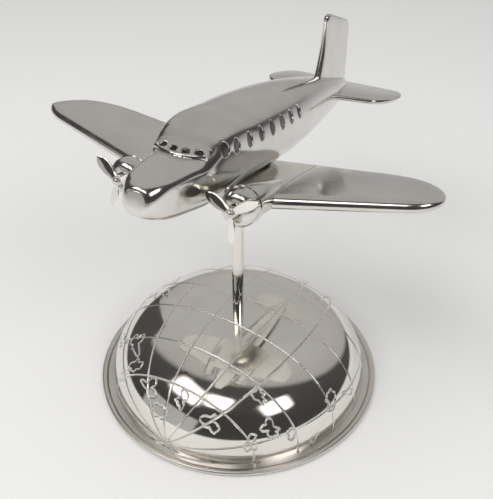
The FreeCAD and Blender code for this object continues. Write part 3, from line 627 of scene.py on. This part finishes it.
def plain_field(profile, hole_at, edge_at, nearest):
    """Plan points of the plain skin between the lines, in staggered rings."""
    field = []
    rings = np.arange(hole_at + FIELD_EDGES[0], edge_at - FIELD_EDGES[1], FIELD_GAP * FIELD_ROW)
    for k, along in enumerate(rings):
        steps = max(12, int(2 * math.pi * along / FIELD_GAP))
        angles = (np.arange(steps) + 0.5 * (k % 2)) * 2 * math.pi / steps
        field.append(polar(along, angles))
    field = np.concatenate(field)
    clear = [nearest.find(point)[2] > GROOVE_HALF + GROOVE_SPARE for point in from_plan(field, profile)]
    return field[np.array(clear)]


def cut_grooves(outside, nearest):
    """Points moved in to the cut surface, their depth below the plain dome, and unit normals."""
    on_line = 1e-4
    plain = dome_normals(outside)
    depth = np.zeros(len(outside))
    normals = plain.copy()
    for k, point in enumerate(outside):
        spot, _, distance = nearest.find(point)
        if distance < GROOVE_HALF:
            share = math.pi * distance / GROOVE_HALF
            depth[k] = GROOVE_DEPTH * (1 + math.cos(share)) / 2
            if distance > on_line:
                slope = GROOVE_DEPTH * math.pi * math.sin(share) / (2 * GROOVE_HALF)
                normals[k] = plain[k] - slope * ((point - np.array(spot)) / distance)
    normals /= np.linalg.norm(normals, axis=1, keepdims=True)
    return outside - plain * depth[:, None], depth, normals


def dome_inside(angles, outer_ring, inner_ring, used):
    """The plain inner wall in rings, and the faces of it, the rim and the hole's edge."""
    length, radius, height = dome_profile(DOME_WALL)
    levels = np.linspace(length[-1], float(np.interp(DOME_HOLE, radius, length)), INSIDE_ROWS)
    rings = []
    for level in levels:
        ring = polar(np.interp(level, length, radius), angles)
        rings.append(np.column_stack([ring, np.full(len(angles), np.interp(level, length, height))]))
    columns = len(angles)
    faces = [tuple(used + k for k in face[::-1]) for face in grid_faces(INSIDE_ROWS, columns)]
    last = used + (INSIDE_ROWS - 1) * columns
    for j in range(columns):
        k = (j + 1) % columns
        faces.append((outer_ring[k], outer_ring[j], used + j, used + k))
        faces.append((inner_ring[j], inner_ring[k], last + k, last + j))
    return np.concatenate(rings), faces


def make_dome():
    """The hollow dome: outside with cut grooves, plain inside, a rim and the hole at the top."""
    profile = dome_profile()
    length, radius, _ = profile
    edge_at = length[-1]
    hole_at = float(np.interp(DOME_HOLE, radius, length))
    ring = polar(1.0, np.linspace(0, 2 * math.pi, RIM_SIDES, endpoint=False))
    rim_edges = [(k, (k + 1) % RIM_SIDES) for k in range(RIM_SIDES)]
    hole_edges = [(a + RIM_SIDES, b + RIM_SIDES) for a, b in rim_edges]
    lines = engraved_lines()
    rows, row_edges = groove_rows(lines, profile, hole_at, edge_at, 2 * RIM_SIDES)
    samples = np.concatenate([evenly(line, SAMPLE_GAP) for line in lines])
    nearest = KDTree(len(samples))
    for k, point in enumerate(samples):
        nearest.insert(point, k)
    nearest.balance()
    field = plain_field(profile, hole_at, edge_at, nearest)
    plan = np.concatenate([ring * edge_at, ring * hole_at, *rows, field])
    edges = rim_edges + hole_edges + row_edges
    merge = 1e-5
    found = delaunay_2d_cdt([Vector(p) for p in plan], edges, [], 0, merge, False)
    plan = np.array([(v.x, v.y) for v in found[0]])
    faces = [tuple(face) for face in found[2] if np.hypot(*plan[list(face)].mean(axis=0)) > hole_at]
    points, depth, normals = cut_grooves(from_plan(plan, profile), nearest)

    # the edge and hole rings are found again by their places in the plan
    reach = np.hypot(plan[:, 0], plan[:, 1])
    bearing = np.arctan2(plan[:, 1], plan[:, 0])
    order = np.argsort(bearing)
    near = 1e-3
    outer_ring = [int(k) for k in order if reach[k] > edge_at - near]
    inner_ring = [int(k) for k in order if reach[k] < hole_at + near]
    inside, inner_faces = dome_inside(bearing[outer_ring], outer_ring, inner_ring, len(points))
    dome = make_piece("globe_dome", np.concatenate([points, inside]), faces + inner_faces, BASE_NICKEL,
                      ["dome_shell"], np.concatenate([normals, -dome_normals(inside)]))
    dome.data.materials.append(ENGRAVED)
    in_groove = np.concatenate([depth > GROOVE_DEPTH * GROOVE_EDGE, np.zeros(len(inside), bool)])
    for polygon in dome.data.polygons:
        if all(in_groove[v] for v in polygon.vertices):
            polygon.material_index = 1


# -------- fuselage
# Gap between the fuselage rings ahead of each station, and behind the last one
RING_GAPS = [(-104.0, 0.35), (-76.0, 0.9), (-60.0, 0.34), (48.0, 0.42), (math.inf, 1.9)]
# Angles between the points of a ring, in degrees: below, over the top, and near the window lines
BELOW_GAP = 3.2
TOP_GAP = 1.5
WINDOW_GAP = 0.85
TOP_STARTS = 10.0  # height on the ring, in degrees, above which it is the top
WINDOW_ENDS = 38.0  # and up to which it is near a window line
CAP_STEPS = 9
FAR = 9.0  # a distance from a pane that counts as nowhere near
MASK_EDGE = 0.02  # the windscreen band's mesh ends where its relief is this faint


def cabin_stations():
    """Where the fuselage rings stand, as lengths along its stations: dense at windows and windscreen."""
    middle = (FUSELAGE[:, 1] + FUSELAGE[:, 2]) / 2
    track = np.stack([FUSELAGE[:, 0], FUSELAGE[:, 1] - middle, FUSELAGE[:, 3]], axis=1)
    knots = np.concatenate([[0], np.cumsum(np.linalg.norm(np.diff(track, axis=0), axis=1))])
    fine = np.linspace(0, knots[-1], OUTLINE_POINTS)
    aft = spline(knots, FUSELAGE[:, 0], fine)

    def spacing(place):
        station = np.interp(place, fine, aft)
        return next(gap for end, gap in RING_GAPS if station < end)

    return knots, graded(0.0, knots[-1], spacing)


def cabin_angles():
    """Angles of the points round a fuselage ring, dense along the window lines and over the top."""
    def spacing(angle):
        turn = math.degrees(angle)
        side = min(turn, 180 - turn)
        if side < TOP_STARTS:
            return math.radians(BELOW_GAP)
        return math.radians(WINDOW_GAP if side < WINDOW_ENDS else TOP_GAP)

    return graded(math.radians(-90), math.radians(270), spacing)[:-1]


def screen_front(x):
    """Station of the windscreen band's front edge at a distance from the centre plane."""
    return between((SCREEN_FRONT, SCREEN_CORNER), (x / SCREEN_HALF_WIDTH) ** 2)


def screen_mask(x, y, z):
    """1 on the windscreen band and 0 off it, with a soft step."""
    edge = (-SCREEN_SOFT, SCREEN_SOFT)
    inside = smoothstep(*edge, y - screen_front(x)) * (1 - smoothstep(*edge, y - SCREEN_BACK))
    inside *= 1 - smoothstep(*edge, np.abs(x) - SCREEN_HALF_WIDTH)
    return inside * (z > SCREEN_LOW)


def pane_reach(x, y, z):
    """Distance from the nearest windscreen pane's middle, 1 at its edge."""
    nearest = np.full(np.shape(x), FAR)
    for out, aft, turn in PANES:
        turn = math.radians(turn)
        a = np.abs(x) - out
        b = y - aft
        along = (a * math.cos(turn) + b * math.sin(turn)) / PANE_HALF[0]
        deep = (b * math.cos(turn) - a * math.sin(turn)) / PANE_HALF[1]
        nearest = np.minimum(nearest, (np.abs(along) ** 3 + np.abs(deep) ** 3) ** (1 / 3))
    return np.where(z > SCREEN_LOW, nearest, FAR)


def screen_relief(points):
    """How far the windscreen band stands off the skin: a flat band with a bead along its front edge."""
    x, y, z = np.moveaxis(points, -1, 0)
    place, half, height = SILL
    bead = height * np.exp(-((y - screen_front(x) - place) / half) ** 2)
    return (SCREEN_STAND + bead) * screen_mask(x, y, z)


def cabin_relief(points):
    """Depth of the panes' and windows' recesses in the fuselage's skin, as a negative height."""
    x, y, z = np.moveaxis(points, -1, 0)
    relief = -PANE_DEPTH * (1 - smoothstep(*PANE_WALL, pane_reach(x, y, z)))
    for station in WINDOW_STATIONS:
        height = WINDOW_HEIGHT + WINDOW_CLIMB * station
        reach = np.hypot((y - station) / WINDOW_HALF[0], (z - height) / WINDOW_HALF[1])
        relief -= WINDOW_DEPTH * (1 - smoothstep(*WINDOW_WALL, reach))
    return relief


def cabin_grid():
    """Rings of points on the plain fuselage from the nose to the tail, with rounded ends."""
    knots, places = cabin_stations()
    angles = cabin_angles()
    aft, top, bottom, half = [spline(knots, FUSELAGE[:, k], places) for k in range(4)]
    height = (top - bottom) / 2
    middle = (top + bottom) / 2
    power = between((FRONT_POWER, NOSE_POWER), smoothstep(*FRONT_FADE, aft))
    power = (power + (CABIN_POWER - NOSE_POWER) * smoothstep(*CABIN_FADE, aft))[:, None]
    cosine, sine = np.cos(angles)[None], np.sin(angles)[None]
    fullness = (np.abs(cosine) ** power + np.abs(sine) ** power) ** (-1 / power)
    grid = np.stack([
        half[:, None] * cosine * fullness,
        np.repeat(aft[:, None], len(angles), axis=1),
        middle[:, None] + height[:, None] * sine * fullness,
    ], axis=2)
    nose = rounded_end(grid[0], -END_CAPS[0], CAP_STEPS)[::-1]
    return np.concatenate([nose, grid, rounded_end(grid[-1], END_CAPS[1], CAP_STEPS)])


def turned(vectors):
    """Tilts directions from the aircraft's own frame into the row frame."""
    return place_aircraft(vectors) - np.array([0, 0, CABIN_HEIGHT])


def make_fuselage():
    """The cabin casting, and the windscreen band that lies on it."""
    plain = cabin_grid()
    outward = grid_normals(plain)
    skin = plain + outward * cabin_relief(plain)[..., None]
    rows, columns = skin.shape[:2]
    faces = [face[::-1] for face in grid_faces(rows, columns)]
    caps = cap_faces(0, columns, False) + cap_faces(rows - 1, columns, True)
    make_piece("cabin_casting", place_aircraft(skin.reshape(-1, 3)), faces + caps, AIR_NICKEL_PAINTED_SHADE,
               ["fuselage"], turned(grid_normals(skin).reshape(-1, 3)))
    make_windscreen(plain, outward, faces)


def make_windscreen(plain, outward, faces):
    """The raised band with its openings, cut from the fuselage's own grid and closed beneath."""
    over = plain + outward * screen_relief(plain)[..., None]
    flat = plain.reshape(-1, 3)
    x, y, z = flat.T
    chosen = (screen_mask(x, y, z) > MASK_EDGE) & (pane_reach(x, y, z) > PANE_WALL[1] - MASK_EDGE)
    faces = np.array(faces)
    faces = faces[chosen[faces].all(axis=1)]
    kept, faces = np.unique(faces, return_inverse=True)
    faces = faces.reshape(-1, 4)
    count = len(kept)
    top = over.reshape(-1, 3)[kept]
    bottom = (plain - outward * SCREEN_DEPTH).reshape(-1, 3)[kept]
    pairs = {(a, b) for face in faces.tolist() for a, b in zip(face, face[1:] + face[:1])}
    walls = [(b, a, a + count, b + count) for a, b in sorted(pairs) if (b, a) not in pairs]
    above = [tuple(face) for face in faces.tolist()]
    under = [tuple(k + count for k in face[::-1]) for face in above]
    up = grid_normals(over).reshape(-1, 3)[kept]
    make_piece("windscreen_band", place_aircraft(np.concatenate([top, bottom])), above + under + walls,
               AIR_NICKEL_PAINTED_SHADE, ["windscreen_frame"], turned(np.concatenate([up, -up])))


# -------- wing, tail and fin
SECTION_STEPS = 44
REAR_STEPS = 6
CENTRE_RIBS = 85
NACELLE_RINGS = 110
NACELLE_SIDES = 96


def aerofoil(chord, thickness):
    """Closed section as (aft, up) rows: forward over the top, back beneath, up the blunt rear edge."""
    share = (1 - np.cos(np.pi * np.arange(SECTION_STEPS + 1) / SECTION_STEPS)) / 2
    front = min(NOSE_LIMIT, NOSE_LENGTH * thickness / chord)
    loss, suddenness = SECTION_TAPER
    round_part = np.sqrt(1 - np.clip(1 - share / front, 0, 1) ** 2)
    flat_part = 1 - loss * (np.clip(share - front, 0, 1) / (1 - front)) ** suddenness
    shape = np.where(share < front, round_part, flat_part) * thickness / 2
    upper = np.stack([share * chord, shape * SECTION_CREST], axis=1)
    lower = np.stack([share * chord, -shape * SECTION_BELLY], axis=1)
    turn = np.linspace(-math.pi / 2, math.pi / 2, REAR_STEPS + 1)[1:-1]
    length, half = np.array(TRAIL_BLUNT) * thickness
    rear = np.stack([chord + length * np.cos(turn), half * np.sin(turn)], axis=1)
    return np.concatenate([upper[::-1], lower[1:], rear])


def rounding(left, length):
    """1 along a wing, falling to 0 over a length before its tip; left is the distance to the tip."""
    return math.sqrt(1 - max(0.0, 1 - left / length) ** TIP_POWER)


def rib_at(out):
    """The wing's outline at a distance from the centre plane: lead, trail and thickness."""
    lead = EDGE_START + EDGE_SWEEP * out
    if out <= PANEL_JOINT:
        lead = max(CENTRE_EDGE, lead)
    trail = TRAIL_START + TRAIL_SWEEP * out
    thickness = between((ROOT_THICKNESS, TIP_THICKNESS), out / SEMI_SPAN)
    front = rounding(SEMI_SPAN - out, TIP_FRONT_ROUND)
    back = rounding(SEMI_SPAN - out, TIP_ROUND)
    pivot = between((lead, trail), TIP_PIVOT)
    return pivot - (pivot - lead) * front, pivot + (trail - pivot) * back, thickness * front ** THIN_POWER


def wing_rib(out):
    """One rib of the wing as a ring of points in the aircraft's frame."""
    lead, trail, thickness = rib_at(abs(out))
    full_lead = EDGE_START + EDGE_SWEEP * abs(out)
    full_trail = TRAIL_START + TRAIL_SWEEP * abs(out)
    base = WING_HEIGHT + DIHEDRAL * abs(out)
    slope = TRAIL_LIFT / (full_trail - full_lead)
    section = aerofoil(trail - lead, thickness)
    aft = lead + section[:, 0]
    up = base + (aft - full_lead) * slope + section[:, 1]
    return np.stack([np.full(len(aft), out), aft, up], axis=1)


def rib_places(start, end, length, steps, tip_steps):
    """Rib places from start to end, even at first and closer together through the rounded tip."""
    spare = 0.12  # keeps the last rib from shrinking to a point
    share = np.arange(tip_steps + 1) / (tip_steps + spare)
    tip = end - length * (1 - np.sin(share * math.pi / 2))
    return np.concatenate([np.linspace(start, end - length, steps)[:-1], tip])


def make_wings():
    """Both outer panels and the centre section."""
    outs = rib_places(PANEL_JOINT, SEMI_SPAN, TIP_ROUND, steps=30, tip_steps=90)
    port = np.array([wing_rib(out) for out in outs])
    make_tube("port_wing_panel", port, ["port_wing"])
    make_tube("starboard_wing_panel", port * MIRROR, ["starboard_wing"], flip=True)
    middle = np.array([wing_rib(out) for out in np.linspace(-PANEL_JOINT, PANEL_JOINT, CENTRE_RIBS)])
    make_tube("wing_centre", middle, ["wing_centre_section"])


def make_nacelles():
    """The fairings behind both cowls."""
    knots = NACELLE[:, 0]
    places = np.linspace(knots[0], knots[-1], NACELLE_RINGS)
    wide, tall, height = [spline(knots, NACELLE[:, k], places) for k in (1, 2, 3)]
    turn = np.linspace(0, 2 * math.pi, NACELLE_SIDES, endpoint=False)
    grid = np.stack([
        ENGINE_OUT + wide[:, None] * np.cos(turn)[None],
        np.repeat(places[:, None], len(turn), axis=1),
        height[:, None] + tall[:, None] * np.sin(turn)[None],
    ], axis=2)
    grid = np.concatenate([grid, rounded_end(grid[-1], NACELLE_END, steps=7)])
    make_tube("port_engine_fairing", grid, ["port_nacelle"], flip=True)
    make_tube("starboard_engine_fairing", grid * MIRROR, ["starboard_nacelle"])


def make_tailplanes():
    """Both halves of the tailplane, whose roots end inside the tail cone."""
    ribs = []
    for out in rib_places(0, TAIL_HALF_SPAN, TAIL_ROUND, steps=24, tip_steps=44):
        lead = TAIL_LEAD[0] + TAIL_LEAD[1] * out
        trail = TAIL_TRAIL[0] + TAIL_TRAIL[1] * out
        squeeze = rounding(TAIL_HALF_SPAN - out, TAIL_ROUND)
        pivot = (lead + trail) / 2
        thickness = between(TAIL_THICKNESS, out / TAIL_HALF_SPAN) * squeeze ** THIN_POWER
        section = aerofoil((trail - lead) * squeeze, thickness)
        aft = pivot - (pivot - lead) * squeeze + section[:, 0]
        up = TAIL_HEIGHT[0] + TAIL_HEIGHT[1] * out + section[:, 1]
        ribs.append(np.stack([np.full(len(aft), out), aft, up], axis=1))
    port = np.array(ribs)
    make_tube("port_tail_half", port, ["port_tailplane"])
    make_tube("starboard_tail_half", port * MIRROR, ["starboard_tailplane"], flip=True)


def make_fin():
    """The upright fin; each rib leans down towards the tail."""
    ribs = []
    for z in rib_places(0, FIN_TOP, FIN_ROUND, steps=40, tip_steps=36):
        lead = FIN_LEAD[0] + FIN_LEAD[1] * z + FIN_KNEE * math.sin(math.pi * z / FIN_TOP)
        trail = FIN_TRAIL[0] + FIN_TRAIL[1] * z
        squeeze = rounding(FIN_TOP - z, FIN_ROUND)
        inset = FIN_ROUND * FIN_CORNER * (1 - squeeze)
        thickness = between(FIN_THICKNESS, z / FIN_TOP) * squeeze ** THIN_POWER
        lean = math.atan(between(FIN_SLOPES, z / FIN_TOP))
        section = aerofoil(trail - lead - 2 * inset, max(thickness, FIN_EDGE))
        along = inset + section[:, 0]
        aft = lead + along * math.cos(lean)
        up = z + along * math.sin(lean)
        ribs.append(np.stack([-section[:, 1], aft, up], axis=1))
    make_tube("tail_fin", np.array(ribs), ["fin"])


# -------- studio
LAMP_WHITE = (1.0, 0.985, 0.965)
CARD_WHITE = (1.0, 0.985, 0.96)
LAMP_DISTANCE = 1.6  # metres
LAMP_BRIGHTNESS = 5.2
# Softboxes: name, azimuth, elevation, width and height in degrees
SOFTBOXES = [("left", -36, 53, 28, 20), ("middle", 2, 57, 19, 16), ("right", 66, 45, 23, 18)]
CARD_DISTANCE = 1.5
CARD_BRIGHTNESS = 3.8  # of a softbox's mirror image
CARD_SPREAD = 1.2  # its size, in softboxes, with its soft edge
CARD_SOFTNESS = 0.62
# Cards seen in the polish: the same, then brightness, share of the size that fades, tilt in degrees
CARDS = [
    ("grey_card", -32, 13, 50, 30, 0.46, 0.10, 0),
    ("dark_card", -103, 8, 40, 44, 0.07, 0.03, -24),
]
FLOOR_RADIUS = 4.0
FLOOR_SIDES = 128
FLOOR_REACH = 2.0  # distance, in metres, over which the paper's painted shade changes
# The paper's painted shade, darker at the middle under the lamps and far off: share of that distance, red
# and green, blue
FLOOR_PAINTED_SHADE = [
    (0.0, 0.72, 0.715), (0.12, 0.73, 0.7227), (0.25, 0.77, 0.7623),
    (0.42, 0.74, 0.7326), (0.65, 0.64, 0.6336), (1.0, 0.58, 0.575),
]
ROOM_UP = (-0.155, 0.679, 0.717)  # from the dark front of the room to its pale back and ceiling
ROOM_STOPS = [
    (0.0, (0.055, 0.053, 0.051)), (0.575, (0.075, 0.073, 0.070)), (0.635, (0.42, 0.41, 0.395)),
    (0.80, (0.48, 0.468, 0.455)), (1.0, (0.46, 0.455, 0.45)),
]
ROOM_LIGHT = (0.72, 0.72, 0.72)
CAMERA_PLACE = (0.1930, -0.3726, 0.4270)
CAMERA_AIM = (-0.3566, 0.7122, -0.6046)
CAMERA_LENS = 57.5  # millimetres, over a sensor 36 mm wide


def floor_material():
    """Pale matt studio paper whose colour carries painted shade, falling off into the room's shade away
    from the model.
    """
    material, tree, shader = new_material("studio_paper", (0.80, 0.80, 0.795), 0.0, 0.7)
    place = tree.nodes.new("ShaderNodeTexCoord")
    length = operation(tree, "ShaderNodeVectorMath", "LENGTH")
    tree.links.new(place.outputs["Object"], length.inputs[0])
    reach = ranged(tree, length.outputs["Value"], 0.0, 1.0, 0.0, FLOOR_REACH)
    # the paper's colour by distance from the model: painted shade
    painted_shades = [(position, (shade, shade, blue)) for position, shade, blue in FLOOR_PAINTED_SHADE]
    mottle = tree.nodes.new("ShaderNodeMix")
    mottle.data_type = "RGBA"
    mottle.blend_type = "MULTIPLY"
    mottle.inputs["Factor"].default_value = 1.0
    grain = coloured(tree, noise(tree, 3.0), [(0.0, (0.975, 0.975, 0.975)), (1.0, (1.0, 1.0, 1.0))])
    tree.links.new(coloured(tree, reach, painted_shades), mottle.inputs["A"])
    tree.links.new(grain, mottle.inputs["B"])
    tree.links.new(mottle.outputs["Result"], shader.inputs["Base Color"])
    bumped(tree, shader, [(noise(tree, 500.0), 0.15, 0.1 * MM)])
    return material


def make_sheet(name, corners, material):
    """One flat face of the studio, which is no part of the object."""
    mesh = bpy.data.meshes.new(name)
    mesh.from_pydata(corners, [], [tuple(range(len(corners)))])
    mesh.materials.append(material)
    sheet = new_object(name, mesh)
    return sheet


def make_floor():
    """A large round sheet of paper under the felt pad."""
    turns = np.linspace(0, 2 * math.pi, FLOOR_SIDES, endpoint=False)
    rim = [(FLOOR_RADIUS * math.cos(turn), FLOOR_RADIUS * math.sin(turn), 0.0) for turn in turns]
    make_sheet("studio_floor", rim, floor_material())


def direction(azimuth, elevation):
    """Unit vector: azimuth 0 is towards the nose (-Y) and 90 towards port (+X)."""
    a, e = math.radians(azimuth), math.radians(elevation)
    return Vector((math.sin(a) * math.cos(e), -math.cos(a) * math.cos(e), math.sin(e)))


def make_lamp(name, azimuth, elevation, wide, high):
    """A rectangular area light that faces the model; its size is in degrees as the model sees it."""
    data = bpy.data.lights.new(name, "AREA")
    data.shape = "RECTANGLE"
    data.size = 2 * LAMP_DISTANCE * math.tan(math.radians(wide / 2))
    data.size_y = 2 * LAMP_DISTANCE * math.tan(math.radians(high / 2))
    data.energy = LAMP_BRIGHTNESS * math.pi * data.size * data.size_y
    data.color = LAMP_WHITE
    lamp = new_object(name, data)
    lamp.location = direction(azimuth, elevation) * LAMP_DISTANCE
    lamp.rotation_euler = lamp.location.to_track_quat("Z", "Y").to_euler()
    lamp.visible_glossy = False


def card_material(name, brightness, soft):
    """A glow that fades towards the card's edges over a share of its size."""
    material, tree, shader = new_material(name, (0.0, 0.0, 0.0), 0.0, 1.0)
    shader.inputs["Emission Color"].default_value = (*CARD_WHITE, 1.0)
    place = tree.nodes.new("ShaderNodeTexCoord")
    mapping = tree.nodes.new("ShaderNodeMapping")
    mapping.inputs["Location"].default_value = (-1.0, -1.0, 0.0)
    mapping.inputs["Scale"].default_value = (2.0, 2.0, 0.0)
    absolute = operation(tree, "ShaderNodeVectorMath", "ABSOLUTE")
    parts = tree.nodes.new("ShaderNodeSeparateXYZ")
    product = operation(tree, "ShaderNodeMath", "MULTIPLY")
    tree.links.new(place.outputs["Generated"], mapping.inputs["Vector"])
    tree.links.new(mapping.outputs["Vector"], absolute.inputs[0])
    tree.links.new(absolute.outputs["Vector"], parts.inputs["Vector"])
    for k, axis in enumerate("XY"):
        fade = ranged(tree, parts.outputs[axis], brightness if k == 0 else 1.0, 0.0, 1 - soft, 1.0)
        fade.node.interpolation_type = "SMOOTHSTEP"
        tree.links.new(fade, product.inputs[k])
    tree.links.new(product.outputs["Value"], shader.inputs["Emission Strength"])
    return material


def make_card(name, azimuth, elevation, wide, high, brightness, soft, tilt):
    """A card that shows only in reflections; its size is in degrees as the model sees it."""
    across = CARD_DISTANCE * math.tan(math.radians(wide / 2))
    up = CARD_DISTANCE * math.tan(math.radians(high / 2))
    corners = [(-across, -up, 0), (across, -up, 0), (across, up, 0), (-across, up, 0)]
    card = make_sheet(name, corners, card_material(name, brightness, soft))
    card.location = direction(azimuth, elevation) * CARD_DISTANCE
    facing = card.location.to_track_quat("Z", "Y").to_euler()
    facing.rotate_axis("Z", math.radians(tilt))
    card.rotation_euler = facing
    card.visible_camera = False
    card.visible_diffuse = False
    card.visible_shadow = False


def make_world():
    """A pale ceiling and back wall over a dark front of the room, seen only in reflections."""
    world = bpy.data.worlds.new("studio")
    bpy.context.scene.world = world
    world.use_nodes = True
    tree = world.node_tree
    tree.nodes.clear()
    output = tree.nodes.new("ShaderNodeOutputWorld")
    place = tree.nodes.new("ShaderNodeTexCoord")
    facing = operation(tree, "ShaderNodeVectorMath", "DOT_PRODUCT")
    facing.inputs[1].default_value = ROOM_UP
    tree.links.new(place.outputs["Generated"], facing.inputs[0])
    room = tree.nodes.new("ShaderNodeBackground")
    tree.links.new(coloured(tree, facing.outputs["Value"], ROOM_STOPS), room.inputs["Color"])
    pale = tree.nodes.new("ShaderNodeBackground")
    pale.inputs["Color"].default_value = (*ROOM_LIGHT, 1.0)
    path = tree.nodes.new("ShaderNodeLightPath")
    either = operation(tree, "ShaderNodeMath", "MAXIMUM")
    tree.links.new(path.outputs["Is Camera Ray"], either.inputs[0])
    tree.links.new(path.outputs["Is Diffuse Ray"], either.inputs[1])
    mix = tree.nodes.new("ShaderNodeMixShader")
    tree.links.new(either.outputs["Value"], mix.inputs["Fac"])
    tree.links.new(room.outputs["Background"], mix.inputs[1])
    tree.links.new(pale.outputs["Background"], mix.inputs[2])
    tree.links.new(mix.outputs["Shader"], output.inputs["Surface"])


def make_camera():
    """The view from above, ahead and to port."""
    data = bpy.data.cameras.new("camera")
    data.lens = CAMERA_LENS
    data.sensor_width = 36.0
    data.clip_start = 0.01
    camera = new_object("camera", data)
    camera.location = CAMERA_PLACE
    camera.rotation_euler = Vector(CAMERA_AIM).to_track_quat("-Z", "Y").to_euler()
    bpy.context.scene.camera = camera


def make_studio():
    """Floor, room, lamps, cards and camera."""
    make_floor()
    make_world()
    for name, azimuth, elevation, wide, high in SOFTBOXES:
        make_lamp("lamp_" + name, azimuth, elevation, wide, high)
        make_card("softbox_" + name, azimuth, elevation, wide * CARD_SPREAD, high * CARD_SPREAD,
                  CARD_BRIGHTNESS, CARD_SOFTNESS, 0)
    for card in CARDS:
        make_card(*card)
    make_camera()
    bpy.context.scene.view_settings.view_transform = "Standard"


finish_cad_nodes()
make_dome()
make_fuselage()
make_wings()
make_nacelles()
make_tailplanes()
make_fin()
make_studio()
